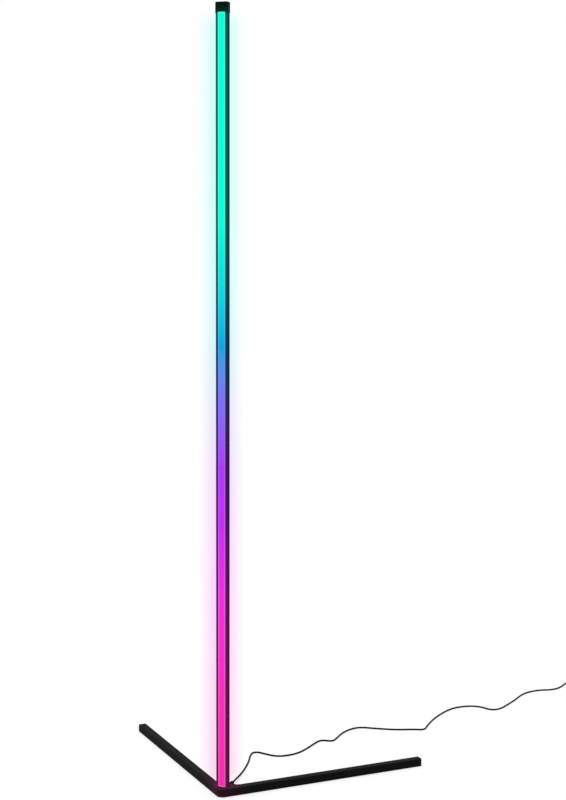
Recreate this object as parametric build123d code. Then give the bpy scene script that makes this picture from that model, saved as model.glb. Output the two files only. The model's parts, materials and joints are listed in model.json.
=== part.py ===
from build123d import *
import os
from math import pi, radians, sqrt, tan

os.makedirs("parts", exist_ok=True)

# A corner floor lamp, in millimetres. The origin is on the floor under the axis of the column, +Z is up,
# the light faces -Y and the two legs run back from the corner at 45 degrees to either side of +Y.

# Whole lamp
LAMP_HEIGHT = 1400.0

# Base: two square tubes on a cast corner
LEG_LENGTH = 415.5  # along the outside, from the sharp corner to the end of the plug
BAR_WIDTH = 15.0
BAR_HEIGHT = 15.0
BAR_WALL = 1.5
BAR_EDGE_RADIUS = 1.2
TUBE_INNER_RADIUS = 0.5
CORNER_SETBACK = 18.15  # the sharp outside corner lies this far in front of the column's axis
CORNER_RADIUS = 12.0  # rounding of the outside corner, seen from above
GUSSET_REACH = 28.6  # the flat across the inside corner starts this far along each leg
CORNER_MARGIN = 4.0  # the casting runs on this far past the flat before the tube starts
SPIGOT_LENGTH = 32.0
SPIGOT_ROOT = 2.0
SPIGOT_EDGE_RADIUS = 1.0
TOP_WALL = 2.8
POCKET_WALL = 3.0
POCKET_STOP = 13.0  # solid length left in each arm of the casting
COVER_THICKNESS = 2.0
COVER_EDGE = 1.8
END_PLUG_HEAD = 2.0
END_PLUG_DEPTH = 14.0
END_PLUG_WALL = 1.6

# Foot pads
PAD_THICKNESS = 0.4
CORNER_PAD_DIAMETER = 18.0
CORNER_PAD_BACK = 6.0  # its centre lies this far behind the column's axis
LEG_PAD_LENGTH = 22.0
LEG_PAD_WIDTH = 9.0
LEG_PAD_FROM_END = 24.0
LEG_PAD_MIDDLE = 0.55  # share of the leg's length where the second pad sits

# Column: an extruded channel with a light cavity in front and a joining chamber behind
COLUMN_WIDTH = 21.0
COLUMN_DEPTH = 12.8
COLUMN_EDGE_RADIUS = 0.6
SIDE_WALL = 1.5
LIP_WIDTH = 3.4
LIP_DEPTH = 1.6
RIB_WIDTH = 0.8
RIB_DEPTH = 0.8
BACK_WALL = 1.2
CHAMBER_DEPTH = 3.4
WEB = 1.0
GASKET_THICKNESS = 2.0
JOINER_LENGTH = 120.0
TONGUE_LENGTH = 60.0  # height of the bracket inside the column
BRACKET_THICKNESS = 3.0
BRACKET_FLANGE = 13.0
BRACKET_BEND_RADIUS = 2.5

# Diffuser
FLANGE_THICKNESS = 1.2
DIFFUSER_RECESS = 0.9  # its face lies this far behind the lips
DIFFUSER_CROWN = 0.4
DIFFUSER_END_GAP = 0.6

# Light strip
STRIP_WIDTH = 10.0
STRIP_THICKNESS = 0.4
STRIP_END_GAP = 8.0
LED_PER_METRE = 30
LED_SIZE = 5.0
LED_HEIGHT = 1.6
LED_LENS_DIAMETER = 3.6
LED_LENS_DEPTH = 0.3
FIRST_LED = 12.0  # from the lower end of the strip
CAPACITOR_SIZE = (2.0, 0.9, 1.25)
CAPACITOR_OFFSET = 6.0
WIRE_DIAMETER = 1.2
WIRE_SPACING = 1.35
WIRE_BEND_RADIUS = 3.0
WIRE_ON_STRIP = 6.0
WIRE_SLOT_MARGIN = 0.5

# Top cap
CAP_WALL = 0.9
CAP_TOP = 3.0
CAP_HEIGHT = 19.0
CAP_CORNER_RADIUS = 2.4
CAP_EDGE_RADIUS = 2.0
CAP_NOTCH_HEIGHT = 1.7  # the strip's end shows in a notch in the front
CAP_NOTCH_RADIUS = 1.5

# Fits
SLIDE_FIT = 0.15
CAP_FIT = 0.1
TONGUE_FIT = 0.2
SCREW_FIT = 0.05
WIRE_FIT = 0.05

# Flat-head screws: thread diameter, head diameter, length
LEG_SCREW = (4.0, 7.5, 8.0)
COVER_SCREW = (2.5, 5.0, 7.0)
BRACKET_SCREW = (3.0, 5.6, 4.8)
COLUMN_SCREW = (3.0, 5.6, 4.0)
SOCKET_SHARE = 0.55  # width of the hexagon socket over the thread diameter
SOCKET_DEPTH_SHARE = 0.4
COLUMN_SCREW_HEIGHTS = (15.0, 40.0)  # above the foot of the column
JOINER_SCREW_OFFSETS = (20.0, 45.0)  # either side of the joint

# Cord and strain relief
CORD_DIAMETER = 3.5
RELIEF_LENGTH = 22.0
RELIEF_ROOT_DIAMETER = 8.4
RELIEF_TIP_DIAMETER = 7.6
RELIEF_NECK_DIAMETER = 6.4
RELIEF_FLANGE_DIAMETER = 8.2
RELIEF_FLANGE_THICKNESS = 1.5
RELIEF_RING_DEPTH = 0.5
RELIEF_RING_WIDTH = 1.4
RELIEF_RINGS = 4
ARC_SHARE = 0.45

# Controller on the cord
CONTROLLER_LENGTH = 66.0
CONTROLLER_WIDTH = 22.0
CONTROLLER_HEIGHT = 12.0
CONTROLLER_SPLIT = 4.6  # height of the seam and of the cord
CONTROLLER_WALL = 1.6
CONTROLLER_CORNER_RADIUS = 5.0
CONTROLLER_EDGE_RADIUS = 1.4
CONTROLLER_X = 509.0
CONTROLLER_Y = 867.0
BOARD_LENGTH = 50.0
BOARD_WIDTH = 16.0
BOARD_THICKNESS = 1.2
BOARD_REST = 1.4  # height of the ribs under the board
BOARD_RIB = 2.0
SWITCH_SIZE = 6.0
SWITCH_HEIGHT = 3.5
PLUNGER_DIAMETER = 3.4
BUTTON_SPACING = 15.0
BUTTON_DIAMETER = 8.0
BUTTON_FLANGE = 0.8
BUTTON_FLANGE_THICKNESS = 1.0
BUTTON_PROUD = 0.6
BUTTON_TRAVEL = 0.4
BUTTON_FIT = 0.2
BUTTON_STOP_GAP = 0.05
BUTTON_CROWN_RADIUS = 0.4
CHIP_SIZE = (8.6, 3.9, 1.5)
CAN_DIAMETER = 5.0
CAN_HEIGHT = 5.0
MICROPHONE_DIAMETER = 4.0
MICROPHONE_HEIGHT = 1.5
SOUND_HOLE_DIAMETER = 1.2
CONTROLLER_SCREW = (2.0, 3.8, 7.0)
CONTROLLER_POST = 4.4
POST_SINK = 0.3  # how far the screw posts run into the side walls
BOOT_LENGTH = 12.0
BOOT_ROOT_DIAMETER = 6.2
BOOT_TIP_DIAMETER = 4.8
BOOT_NECK_DIAMETER = 5.0
BOOT_FLANGE_DIAMETER = 6.0
BOOT_FLANGE_THICKNESS = 1.2

# Coil of the length that is put away
COIL_START_Y = 770.0
COIL_OUTER_RADIUS = 25.0
COIL_LOOPS_IN = 3
COIL_HALF_TURNS_OUT = 4
COIL_GAP = 0.5  # between neighbouring turns
TIE_THICKNESS = 0.6
TIE_WIDTH = 5.0
TIE_FIT = 0.3

# Plug
PLUG_X = 557.0
PLUG_CORD_END_Y = 834.0
PLUG_WIDTH = 16.0
PLUG_HEIGHT = 8.0
PLUG_LENGTH = 24.0
PLUG_EDGE_RADIUS = 2.4
PLUG_BOOT_LENGTH = 10.0
PLUG_BOOT_ROOT = 7.0
PLUG_BOOT_TIP = 4.8
PLUG_BOOT_SINK = 1.0
SHELL_WIDTH = 12.0
SHELL_HEIGHT = 4.5
SHELL_WALL = 0.35
SHELL_LENGTH = 12.0
SHELL_IN_BODY = 6.0
SHELL_WINDOW = 2.2
SHELL_WINDOW_SPREAD = 2.2  # from the middle of the shell to the middle of a window
SHELL_WINDOW_SETBACK = 6.0  # from the open end
TONGUE_HEIGHT = 1.9
TONGUE_SETBACK = 0.6
CONTACT_SIZE = (1.0, 7.4, 0.25)
CONTACT_SPREAD = (-3.5, -1.0, 1.0, 3.5)
CONTACT_SETBACK = 1.0

# Heights and places that follow from the sizes above
HALF = sqrt(0.5)
LOW = (Align.CENTER, Align.CENTER, Align.MIN)
BASE_TOP = PAD_THICKNESS + BAR_HEIGHT
CEILING = BASE_TOP - TOP_WALL
CORNER_REACH = BAR_WIDTH + GUSSET_REACH + CORNER_MARGIN
POCKET_REACH = CORNER_REACH - POCKET_STOP
COVER_REACH = CORNER_REACH - COVER_EDGE
FLAT_Y = BAR_WIDTH * sqrt(2) - CORNER_SETBACK + GUSSET_REACH * HALF
RELIEF_Z = CEILING - RELIEF_FLANGE_DIAMETER / 2 - SLIDE_FIT
COLUMN_FOOT = BASE_TOP + GASKET_THICKNESS
COLUMN_TOP = LAMP_HEIGHT - CAP_TOP
COLUMN_JOINT = (COLUMN_FOOT + COLUMN_TOP) / 2
FRONT = -COLUMN_DEPTH / 2
BACK = COLUMN_DEPTH / 2
CAVITY_WIDTH = COLUMN_WIDTH - 2 * SIDE_WALL
MOUTH_WIDTH = COLUMN_WIDTH - 2 * LIP_WIDTH
GROOVE_FRONT = FRONT + LIP_DEPTH
GROOVE_BACK = GROOVE_FRONT + FLANGE_THICKNESS + 2 * SLIDE_FIT
CHAMBER_BACK = BACK - BACK_WALL
CHAMBER_FRONT = CHAMBER_BACK - CHAMBER_DEPTH
WEB_FRONT = CHAMBER_FRONT - WEB
TONGUE_WIDTH = CAVITY_WIDTH - 2 * TONGUE_FIT
TONGUE_Y = (CHAMBER_FRONT + CHAMBER_BACK) / 2
TONGUE_BACK = TONGUE_Y + BRACKET_THICKNESS / 2
STRIP_FRONT = WEB_FRONT - STRIP_THICKNESS
STRIP_FOOT = COLUMN_FOOT + STRIP_END_GAP
WIRE_Y = STRIP_FRONT - WIRE_DIAMETER / 2 - WIRE_FIT
RELIEF_TIP_Y = FLAT_Y + RELIEF_LENGTH
CORD_FLOOR = CORD_DIAMETER / 2
INLET_TIP_Y = CONTROLLER_Y + CONTROLLER_LENGTH / 2 + BOOT_LENGTH
OUTLET_TIP_Y = CONTROLLER_Y - CONTROLLER_LENGTH / 2 - BOOT_LENGTH
COIL_PITCH = CORD_DIAMETER + COIL_GAP
COIL_LOW = TIE_THICKNESS + COIL_GAP / 2 + CORD_FLOOR
COIL_HIGH = COIL_LOW + COIL_PITCH
PLUG_Z = PLUG_HEIGHT / 2

RIGHT_LEG = Plane(origin=(0, -CORNER_SETBACK, PAD_THICKNESS), x_dir=(1, 1, 0), z_dir=(0, 0, 1))
CONTROLLER = Plane(origin=(CONTROLLER_X, CONTROLLER_Y, 0), x_dir=(0, -1, 0), z_dir=(0, 0, 1))
PLUG = Plane(origin=(PLUG_X, PLUG_CORD_END_Y, PLUG_Z), x_dir=(-1, 0, 0), z_dir=(0, 1, 0))

# Routes of the free stretches of cord, chosen by hand: the two ends follow the pieces that they meet
LAMP_CORD_ROUTE = [
    (0, RELIEF_TIP_Y, RELIEF_Z),
    (0, RELIEF_TIP_Y + 9, RELIEF_Z),
    (-3, 70, 6.6),
    (-7, 95, 2.9),
    (-10, 122, CORD_FLOOR),
    (-14, 150, CORD_FLOOR),
    (-21, 184, CORD_FLOOR),
    (-28, 207, CORD_FLOOR),
    (-31, 222, CORD_FLOOR),
    (-32, 232, CORD_FLOOR),
    (-24, 239, CORD_FLOOR),
    (-14, 236, CORD_FLOOR),
    (1, 232, CORD_FLOOR),
    (18, 229, CORD_FLOOR),
    (33, 237, CORD_FLOOR),
    (46, 252, CORD_FLOOR),
    (54, 270, CORD_FLOOR),
    (59, 297, CORD_FLOOR),
    (62, 325, CORD_FLOOR),
    (67, 352, CORD_FLOOR),
    (92, 351, CORD_FLOOR),
    (93, 375, CORD_FLOOR),
    (93, 404, CORD_FLOOR),
    (99, 433, CORD_FLOOR),
    (114, 456, CORD_FLOOR),
    (148, 459, CORD_FLOOR),
    (189, 466, CORD_FLOOR),
    (221, 481, CORD_FLOOR),
    (243, 486, CORD_FLOOR),
    (241, 512, CORD_FLOOR),
    (241, 554, CORD_FLOOR),
    (247, 603, CORD_FLOOR),
    (260, 649, CORD_FLOOR),
    (287, 674, CORD_FLOOR),
    (313, 678, CORD_FLOOR),
    (338, 663, CORD_FLOOR),
    (355, 676, CORD_FLOOR),
    (363, 712, CORD_FLOOR),
    (371, 752, CORD_FLOOR),
    (375, 789, CORD_FLOOR),
    (384, 816, CORD_FLOOR),
    (404, 841, CORD_FLOOR),
    (431, 853, CORD_FLOOR),
    (444, 876, CORD_FLOOR),
    (449, 910, CORD_FLOOR),
    (453, 940, CORD_FLOOR),
    (465, 965, CORD_FLOOR),
    (489, 973, CORD_FLOOR),
    (507, 957, CORD_FLOOR),
    (510, 937, 3.2),
    (CONTROLLER_X, INLET_TIP_Y + 11, CONTROLLER_SPLIT),
    (CONTROLLER_X, INLET_TIP_Y, CONTROLLER_SPLIT),
]
PLUG_LEAD_ROUTE = [
    (CONTROLLER_X, OUTLET_TIP_Y, CONTROLLER_SPLIT),
    (CONTROLLER_X, OUTLET_TIP_Y - 11, CONTROLLER_SPLIT),
    (CONTROLLER_X, 797, 3.2),
    (CONTROLLER_X, 782, COIL_LOW),
    (CONTROLLER_X, COIL_START_Y, COIL_LOW),
]


def flat_screw(size, grow=0.0):
    """A flat-head screw, head face at z = 0 and thread towards +Z. With grow, the hole that it goes in."""
    thread, head, length = size
    cone = (head - thread) / 2
    body = Pos(0, 0, cone) * Cylinder(thread / 2 + grow, length - cone + grow, align=LOW)
    body += Cone(head / 2 + grow, thread / 2 + grow, cone, align=LOW)
    if grow:
        return body
    socket = RegularPolygon(thread * SOCKET_SHARE / 2, 6)
    return body - extrude(socket, thread * SOCKET_DEPTH_SHARE)


def on_right_leg(along, across, height=0.0):
    """A place on the right leg: along its length, across from its outside face, up from its underside."""
    return RIGHT_LEG.location * Pos(along, across, height)


def left_of(part):
    """The same piece on the other side of the lamp."""
    return mirror(part, about=Plane.YZ)


def both_sides(part):
    return [part, left_of(part)]


def bar(width, height, radius, start, length):
    """A rounded bar along the right leg's own X axis, centred on the leg's section."""
    end = Plane(origin=(start, BAR_WIDTH / 2, BAR_HEIGHT / 2), x_dir=(0, 1, 0), z_dir=(1, 0, 0))
    return extrude(end * RectangleRounded(width, height, radius), length)


def leg_point(along, across):
    place = on_right_leg(along, across).position
    return (place.X, place.Y)


def corner_outline(inset, reach):
    """The casting's plan, drawn in by inset from its faces, with its arms cut at reach."""
    flat_y = FLAT_Y - inset
    inner = BAR_WIDTH - inset
    flat_start = (flat_y + CORNER_SETBACK) / HALF - inner
    right = [leg_point(reach, inset), leg_point(reach, inner), leg_point(flat_start, inner)]
    left = [(-x, y) for x, y in reversed(right)]
    outline = make_face(Polyline(leg_point(inset, inset), *right, *left, close=True))
    front = outline.vertices().sort_by(Axis.Y)[0]
    return fillet(front, CORNER_RADIUS - inset)


LEG_SCREW_ALONG = CORNER_REACH + SPIGOT_LENGTH / 2
COVER_SCREW_ALONG = (POCKET_REACH + COVER_REACH) / 2
BRACKET_SCREW_X = TONGUE_WIDTH / 4
BRACKET_SCREW_Y = TONGUE_BACK + (BRACKET_FLANGE - BRACKET_THICKNESS) / 2


def leg_screw_place():
    return on_right_leg(LEG_SCREW_ALONG, BAR_WIDTH / 2)


def cover_screw_place():
    return on_right_leg(COVER_SCREW_ALONG, BAR_WIDTH / 2)


def bracket_screw_places():
    return [Pos(x, BRACKET_SCREW_Y, CEILING - BRACKET_THICKNESS) for x in (-BRACKET_SCREW_X, BRACKET_SCREW_X)]


def column_screw_places():
    """Flat-head screws in the back of the column, driven towards the light."""
    heights = [COLUMN_FOOT + up for up in COLUMN_SCREW_HEIGHTS]
    for off in JOINER_SCREW_OFFSETS:
        heights += [COLUMN_JOINT - off, COLUMN_JOINT + off]
    return [Plane(origin=(0, BACK, z), x_dir=(1, 0, 0), z_dir=(0, -1, 0)).location for z in heights]


def wire_slot(low, high):
    width = 2 * WIRE_SPACING + WIRE_DIAMETER + 2 * WIRE_SLOT_MARGIN
    depth = WIRE_DIAMETER + 2 * WIRE_SLOT_MARGIN
    return Pos(0, WIRE_Y, low) * Box(width, depth, high - low, align=LOW)


def tongue_slot(low, high):
    slot = Box(TONGUE_WIDTH + 2 * TONGUE_FIT, BRACKET_THICKNESS + 2 * TONGUE_FIT, high - low, align=LOW)
    return Pos(0, TONGUE_Y, low) * slot


# Base
def make_corner_block():
    floor_level = Pos(0, 0, PAD_THICKNESS)
    block = floor_level * extrude(corner_outline(0, CORNER_REACH), BAR_HEIGHT)
    rims = block.faces().sort_by(Axis.Z)
    ends = block.faces().filter_by(lambda face: abs(abs(face.normal_at().X) - HALF) < 0.01)
    ends = ends.filter_by(lambda face: face.normal_at().Y > 0.5).sort_by(Axis.Y)[-2:]
    rim_edges = rims[0].edges() + rims[-1].edges()
    end_middles = [edge.center() for face in ends for edge in face.edges()]
    soft = [edge for edge in rim_edges if all((edge.center() - m).length > 0.01 for m in end_middles)]
    block = fillet(soft, BAR_EDGE_RADIUS)

    width = BAR_WIDTH - 2 * BAR_WALL - 2 * SLIDE_FIT
    height = BAR_HEIGHT - 2 * BAR_WALL - 2 * SLIDE_FIT
    start = CORNER_REACH - SPIGOT_ROOT
    spigot = RIGHT_LEG.location * bar(width, height, SPIGOT_EDGE_RADIUS, start, SPIGOT_LENGTH + SPIGOT_ROOT)
    block += both_sides(spigot)

    square = Rectangle(POCKET_REACH, POCKET_REACH, align=(Align.MIN, Align.MIN))
    reach_square = Pos(0, -CORNER_SETBACK) * Rot(0, 0, 45) * square
    pocket = corner_outline(POCKET_WALL, CORNER_REACH) & reach_square
    block -= floor_level * extrude(pocket, CEILING - PAD_THICKNESS)
    block -= floor_level * extrude(corner_outline(COVER_EDGE, COVER_REACH), COVER_THICKNESS)

    block -= tongue_slot(CEILING, BASE_TOP)
    block -= wire_slot(CEILING, BASE_TOP)
    neck = Plane(origin=(0, FLAT_Y - POCKET_WALL, RELIEF_Z), x_dir=(1, 0, 0), z_dir=(0, 1, 0))
    block -= neck.location * Cylinder(RELIEF_NECK_DIAMETER / 2 + SCREW_FIT, POCKET_WALL, align=LOW)
    block -= both_sides(leg_screw_place() * flat_screw(LEG_SCREW, SCREW_FIT))
    block -= both_sides(cover_screw_place() * flat_screw(COVER_SCREW, SCREW_FIT))
    block -= [place * flat_screw(BRACKET_SCREW, SCREW_FIT) for place in bracket_screw_places()]
    return block


def make_corner_cover():
    plate = extrude(corner_outline(COVER_EDGE + SLIDE_FIT, COVER_REACH - SLIDE_FIT), COVER_THICKNESS)
    plate = Pos(0, 0, PAD_THICKNESS) * plate
    return plate - both_sides(cover_screw_place() * flat_screw(COVER_SCREW, SCREW_FIT))


def make_right_leg():
    length = LEG_LENGTH - END_PLUG_HEAD - CORNER_REACH
    tube = bar(BAR_WIDTH, BAR_HEIGHT, BAR_EDGE_RADIUS, CORNER_REACH, length)
    bore_width = BAR_WIDTH - 2 * BAR_WALL
    bore_height = BAR_HEIGHT - 2 * BAR_WALL
    tube -= bar(bore_width, bore_height, TUBE_INNER_RADIUS, CORNER_REACH, length)
    return RIGHT_LEG.location * tube - leg_screw_place() * flat_screw(LEG_SCREW, SCREW_FIT)


def make_right_end_plug():
    head_start = LEG_LENGTH - END_PLUG_HEAD
    width = BAR_WIDTH - 2 * BAR_WALL - 2 * SLIDE_FIT
    height = BAR_HEIGHT - 2 * BAR_WALL - 2 * SLIDE_FIT
    depth_start = head_start - END_PLUG_DEPTH
    plug = bar(BAR_WIDTH, BAR_HEIGHT, BAR_EDGE_RADIUS, head_start, END_PLUG_HEAD)
    plug += bar(width, height, SPIGOT_EDGE_RADIUS, depth_start, END_PLUG_DEPTH)
    hollow = (width - 2 * END_PLUG_WALL, height - 2 * END_PLUG_WALL)
    plug -= bar(*hollow, TUBE_INNER_RADIUS, depth_start, END_PLUG_DEPTH)
    return RIGHT_LEG.location * plug


def make_corner_pad():
    return Pos(0, CORNER_PAD_BACK, 0) * Cylinder(CORNER_PAD_DIAMETER / 2, PAD_THICKNESS, align=LOW)


def make_leg_pads():
    pads = []
    for along in (LEG_LENGTH * LEG_PAD_MIDDLE, LEG_LENGTH - LEG_PAD_FROM_END):
        pad = extrude(SlotOverall(LEG_PAD_LENGTH, LEG_PAD_WIDTH), PAD_THICKNESS)
        pads += both_sides(on_right_leg(along, BAR_WIDTH / 2, -PAD_THICKNESS) * pad)
    return pads


# Column
def make_column_bracket():
    """Flat bar bent to an L: the tongue stands in the column's chamber, the flange lies under the casting."""
    low = CEILING - BRACKET_THICKNESS
    high = COLUMN_FOOT + TONGUE_LENGTH
    tongue = Pos(0, TONGUE_Y, low) * Box(TONGUE_WIDTH, BRACKET_THICKNESS, high - low, align=LOW)
    flange_align = (Align.CENTER, Align.MIN, Align.MIN)
    flange = Box(TONGUE_WIDTH, BRACKET_FLANGE, BRACKET_THICKNESS, align=flange_align)
    bracket = tongue + Pos(0, TONGUE_BACK - BRACKET_THICKNESS, low) * flange
    bend = bracket.edges().filter_by(Axis.X).group_by(Axis.Z)[0].sort_by(Axis.Y)[0]
    bracket = fillet(bend, BRACKET_BEND_RADIUS)
    bracket -= [place * flat_screw(BRACKET_SCREW, SCREW_FIT) for place in bracket_screw_places()]
    return bracket - [place * flat_screw(COLUMN_SCREW, SCREW_FIT) for place in column_screw_places()]


def make_gasket():
    plate = extrude(RectangleRounded(COLUMN_WIDTH, COLUMN_DEPTH, COLUMN_EDGE_RADIUS), GASKET_THICKNESS)
    gasket = Pos(0, 0, BASE_TOP) * plate
    return gasket - tongue_slot(BASE_TOP, COLUMN_FOOT) - wire_slot(BASE_TOP, COLUMN_FOOT)


def channel_room(width, front, back):
    """A room in the channel's section, from one depth to another."""
    return Pos(0, (front + back) / 2) * Rectangle(width, back - front)


def channel_section():
    section = RectangleRounded(COLUMN_WIDTH, COLUMN_DEPTH, COLUMN_EDGE_RADIUS)
    section -= channel_room(MOUTH_WIDTH, FRONT, GROOVE_FRONT)
    section -= channel_room(CAVITY_WIDTH, GROOVE_FRONT, GROOVE_BACK)
    section -= channel_room(CAVITY_WIDTH - 2 * RIB_WIDTH, GROOVE_BACK, GROOVE_BACK + RIB_DEPTH)
    section -= channel_room(CAVITY_WIDTH, GROOVE_BACK + RIB_DEPTH, WEB_FRONT)
    section -= channel_room(CAVITY_WIDTH, CHAMBER_FRONT, CHAMBER_BACK)
    return section


def make_channel(low, high):
    channel = Pos(0, 0, low) * extrude(channel_section(), high - low)
    places = [place for place in column_screw_places() if low < place.position.Z < high]
    return channel - [place * flat_screw(COLUMN_SCREW, SCREW_FIT) for place in places]


def make_joiner():
    start = COLUMN_JOINT - JOINER_LENGTH / 2
    joiner = Pos(0, TONGUE_Y, start) * Box(TONGUE_WIDTH, BRACKET_THICKNESS, JOINER_LENGTH, align=LOW)
    return joiner - [place * flat_screw(COLUMN_SCREW, SCREW_FIT) for place in column_screw_places()]


def make_diffuser():
    """Flexible opal strip: a crowned face between the lips, with a flange in the channel's two grooves."""
    half_face = MOUTH_WIDTH / 2 - SLIDE_FIT
    half_flange = CAVITY_WIDTH / 2 - SLIDE_FIT
    face = FRONT + DIFFUSER_RECESS
    edge = face + DIFFUSER_CROWN
    shoulder = GROOVE_FRONT + SLIDE_FIT
    rear = shoulder + FLANGE_THICKNESS
    crown = ThreePointArc((-half_face, edge), (0, face), (half_face, edge))
    sides = Polyline(
        (half_face, edge),
        (half_face, shoulder),
        (half_flange, shoulder),
        (half_flange, rear),
        (-half_flange, rear),
        (-half_flange, shoulder),
        (-half_face, shoulder),
        (-half_face, edge),
    )
    section = make_face([crown, sides])
    foot = COLUMN_FOOT + DIFFUSER_END_GAP
    return Pos(0, 0, foot) * extrude(section, COLUMN_TOP - SLIDE_FIT - foot)


def make_top_cap():
    outer_width = COLUMN_WIDTH + 2 * CAP_FIT + 2 * CAP_WALL
    outer_depth = COLUMN_DEPTH + 2 * CAP_FIT + 2 * CAP_WALL
    cap = extrude(RectangleRounded(outer_width, outer_depth, CAP_CORNER_RADIUS), CAP_HEIGHT)
    cap = fillet(cap.faces().sort_by(Axis.Z)[-1].edges(), CAP_EDGE_RADIUS)
    room = RectangleRounded(COLUMN_WIDTH + 2 * CAP_FIT, COLUMN_DEPTH + 2 * CAP_FIT, COLUMN_EDGE_RADIUS)
    cap -= extrude(room, CAP_HEIGHT - CAP_TOP)
    notch = RectangleRounded(MOUTH_WIDTH, 2 * CAP_NOTCH_HEIGHT, CAP_NOTCH_RADIUS)
    front_wall = Plane(origin=(0, -outer_depth / 2, 0), x_dir=(1, 0, 0), z_dir=(0, 1, 0))
    cap -= extrude(front_wall * notch, CAP_WALL + CAP_FIT)
    return Pos(0, 0, LAMP_HEIGHT - CAP_HEIGHT) * cap


# Light strip
def led_heights():
    pitch = 1000.0 / LED_PER_METRE
    first = STRIP_FOOT + FIRST_LED
    last = COLUMN_TOP - STRIP_END_GAP - FIRST_LED
    return [first + pitch * i for i in range(int((last - first) / pitch) + 1)]


def make_strip_board():
    length = COLUMN_TOP - STRIP_END_GAP - STRIP_FOOT
    y = WEB_FRONT - STRIP_THICKNESS / 2
    return Pos(0, y, STRIP_FOOT) * Box(STRIP_WIDTH, STRIP_THICKNESS, length, align=LOW)


def make_led_chips():
    toward_light = Plane(origin=(0, STRIP_FRONT, 0), x_dir=(1, 0, 0), z_dir=(0, -1, 0))
    chip = Box(LED_SIZE, LED_SIZE, LED_HEIGHT, align=LOW)
    lens = Cylinder(LED_LENS_DIAMETER / 2, LED_LENS_DEPTH, align=LOW)
    chip = toward_light.location * (chip - Pos(0, 0, LED_HEIGHT - LED_LENS_DEPTH) * lens)
    return [Pos(0, 0, z) * chip for z in led_heights()]


def make_strip_capacitors():
    width, height, length = CAPACITOR_SIZE
    y = STRIP_FRONT - height / 2
    return [Pos(0, y, z + CAPACITOR_OFFSET) * Box(width, height, length) for z in led_heights()]


def swept_tube(path, diameter):
    return sweep(Plane(origin=path @ 0, z_dir=path % 0) * Circle(diameter / 2), path=path)


def make_feed_wires():
    inner_end = FLAT_Y - POCKET_WALL - RELIEF_FLANGE_THICKNESS
    wires = []
    for x in (-WIRE_SPACING, 0.0, WIRE_SPACING):
        points = [(x, inner_end, RELIEF_Z), (x, WIRE_Y, RELIEF_Z), (x, WIRE_Y, STRIP_FOOT + WIRE_ON_STRIP)]
        wires.append(swept_tube(FilletPolyline(*points, radius=WIRE_BEND_RADIUS), WIRE_DIAMETER))
    return wires


# Cord
def tapered_boot(length, root, tip, neck, wall, flange, flange_thickness):
    """A moulded boot along +Z: flange and neck below z = 0, taper above."""
    boot = Cone(root / 2, tip / 2, length, align=LOW)
    boot += Pos(0, 0, -wall) * Cylinder(neck / 2, wall, align=LOW)
    boot += Pos(0, 0, -wall - flange_thickness) * Cylinder(flange / 2, flange_thickness, align=LOW)
    return boot


def make_strain_relief():
    boot = tapered_boot(
        RELIEF_LENGTH,
        RELIEF_ROOT_DIAMETER,
        RELIEF_TIP_DIAMETER,
        RELIEF_NECK_DIAMETER,
        POCKET_WALL,
        RELIEF_FLANGE_DIAMETER,
        RELIEF_FLANGE_THICKNESS,
    )
    step = RELIEF_LENGTH / (RELIEF_RINGS + 2)
    for ring in range(1, RELIEF_RINGS + 1):
        share = ring * step / RELIEF_LENGTH
        radius = (RELIEF_ROOT_DIAMETER + (RELIEF_TIP_DIAMETER - RELIEF_ROOT_DIAMETER) * share) / 2
        groove = Cylinder(RELIEF_ROOT_DIAMETER, RELIEF_RING_WIDTH)
        groove -= Cylinder(radius - RELIEF_RING_DEPTH, RELIEF_RING_WIDTH)
        boot -= Pos(0, 0, ring * step) * groove
    outward = Plane(origin=(0, FLAT_Y, RELIEF_Z), x_dir=(1, 0, 0), z_dir=(0, 1, 0))
    return outward.location * boot


def make_cord(name, route):
    """A tube of straight runs and tangent arcs, each arc as large as its two runs allow."""
    points = [Vector(*point) for point in route]
    runs = [b - a for a, b in zip(points, points[1:])]
    turns = [a.get_angle(b) for a, b in zip(runs, runs[1:])]
    radii = []
    for before, after, turn in zip(runs, runs[1:], turns):
        radii.append(ARC_SHARE * min(before.length, after.length) / tan(radians(turn) / 2))
    path = FilletPolyline(*points, radius=radii)
    tube = swept_tube(path, CORD_DIAMETER)
    expected = pi / 4 * CORD_DIAMETER**2 * path.length
    lengths = [run.length for run in runs]
    print(name, "length", round(path.length, 1), "volume ratio", round(tube.volume / expected, 5))
    print("  radii", [round(radius, 1) for radius in radii])
    print("  longest run", round(max(lengths), 1), "sharpest turn", round(max(turns), 1))
    return tube


def biarc(start, start_way, end, end_way):
    """Two tangent arcs between two points with given directions."""
    span = end - start
    both = start_way + end_way
    bend = 2 * (1 - start_way.dot(end_way))
    reach = (-span.dot(both) + sqrt(span.dot(both) ** 2 + bend * span.dot(span))) / bend
    joint = (start + end + (start_way - end_way) * reach) * 0.5
    first = TangentArc(start, joint, tangent=start_way)
    return [first, TangentArc(joint, end, tangent=first % 1)]


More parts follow.
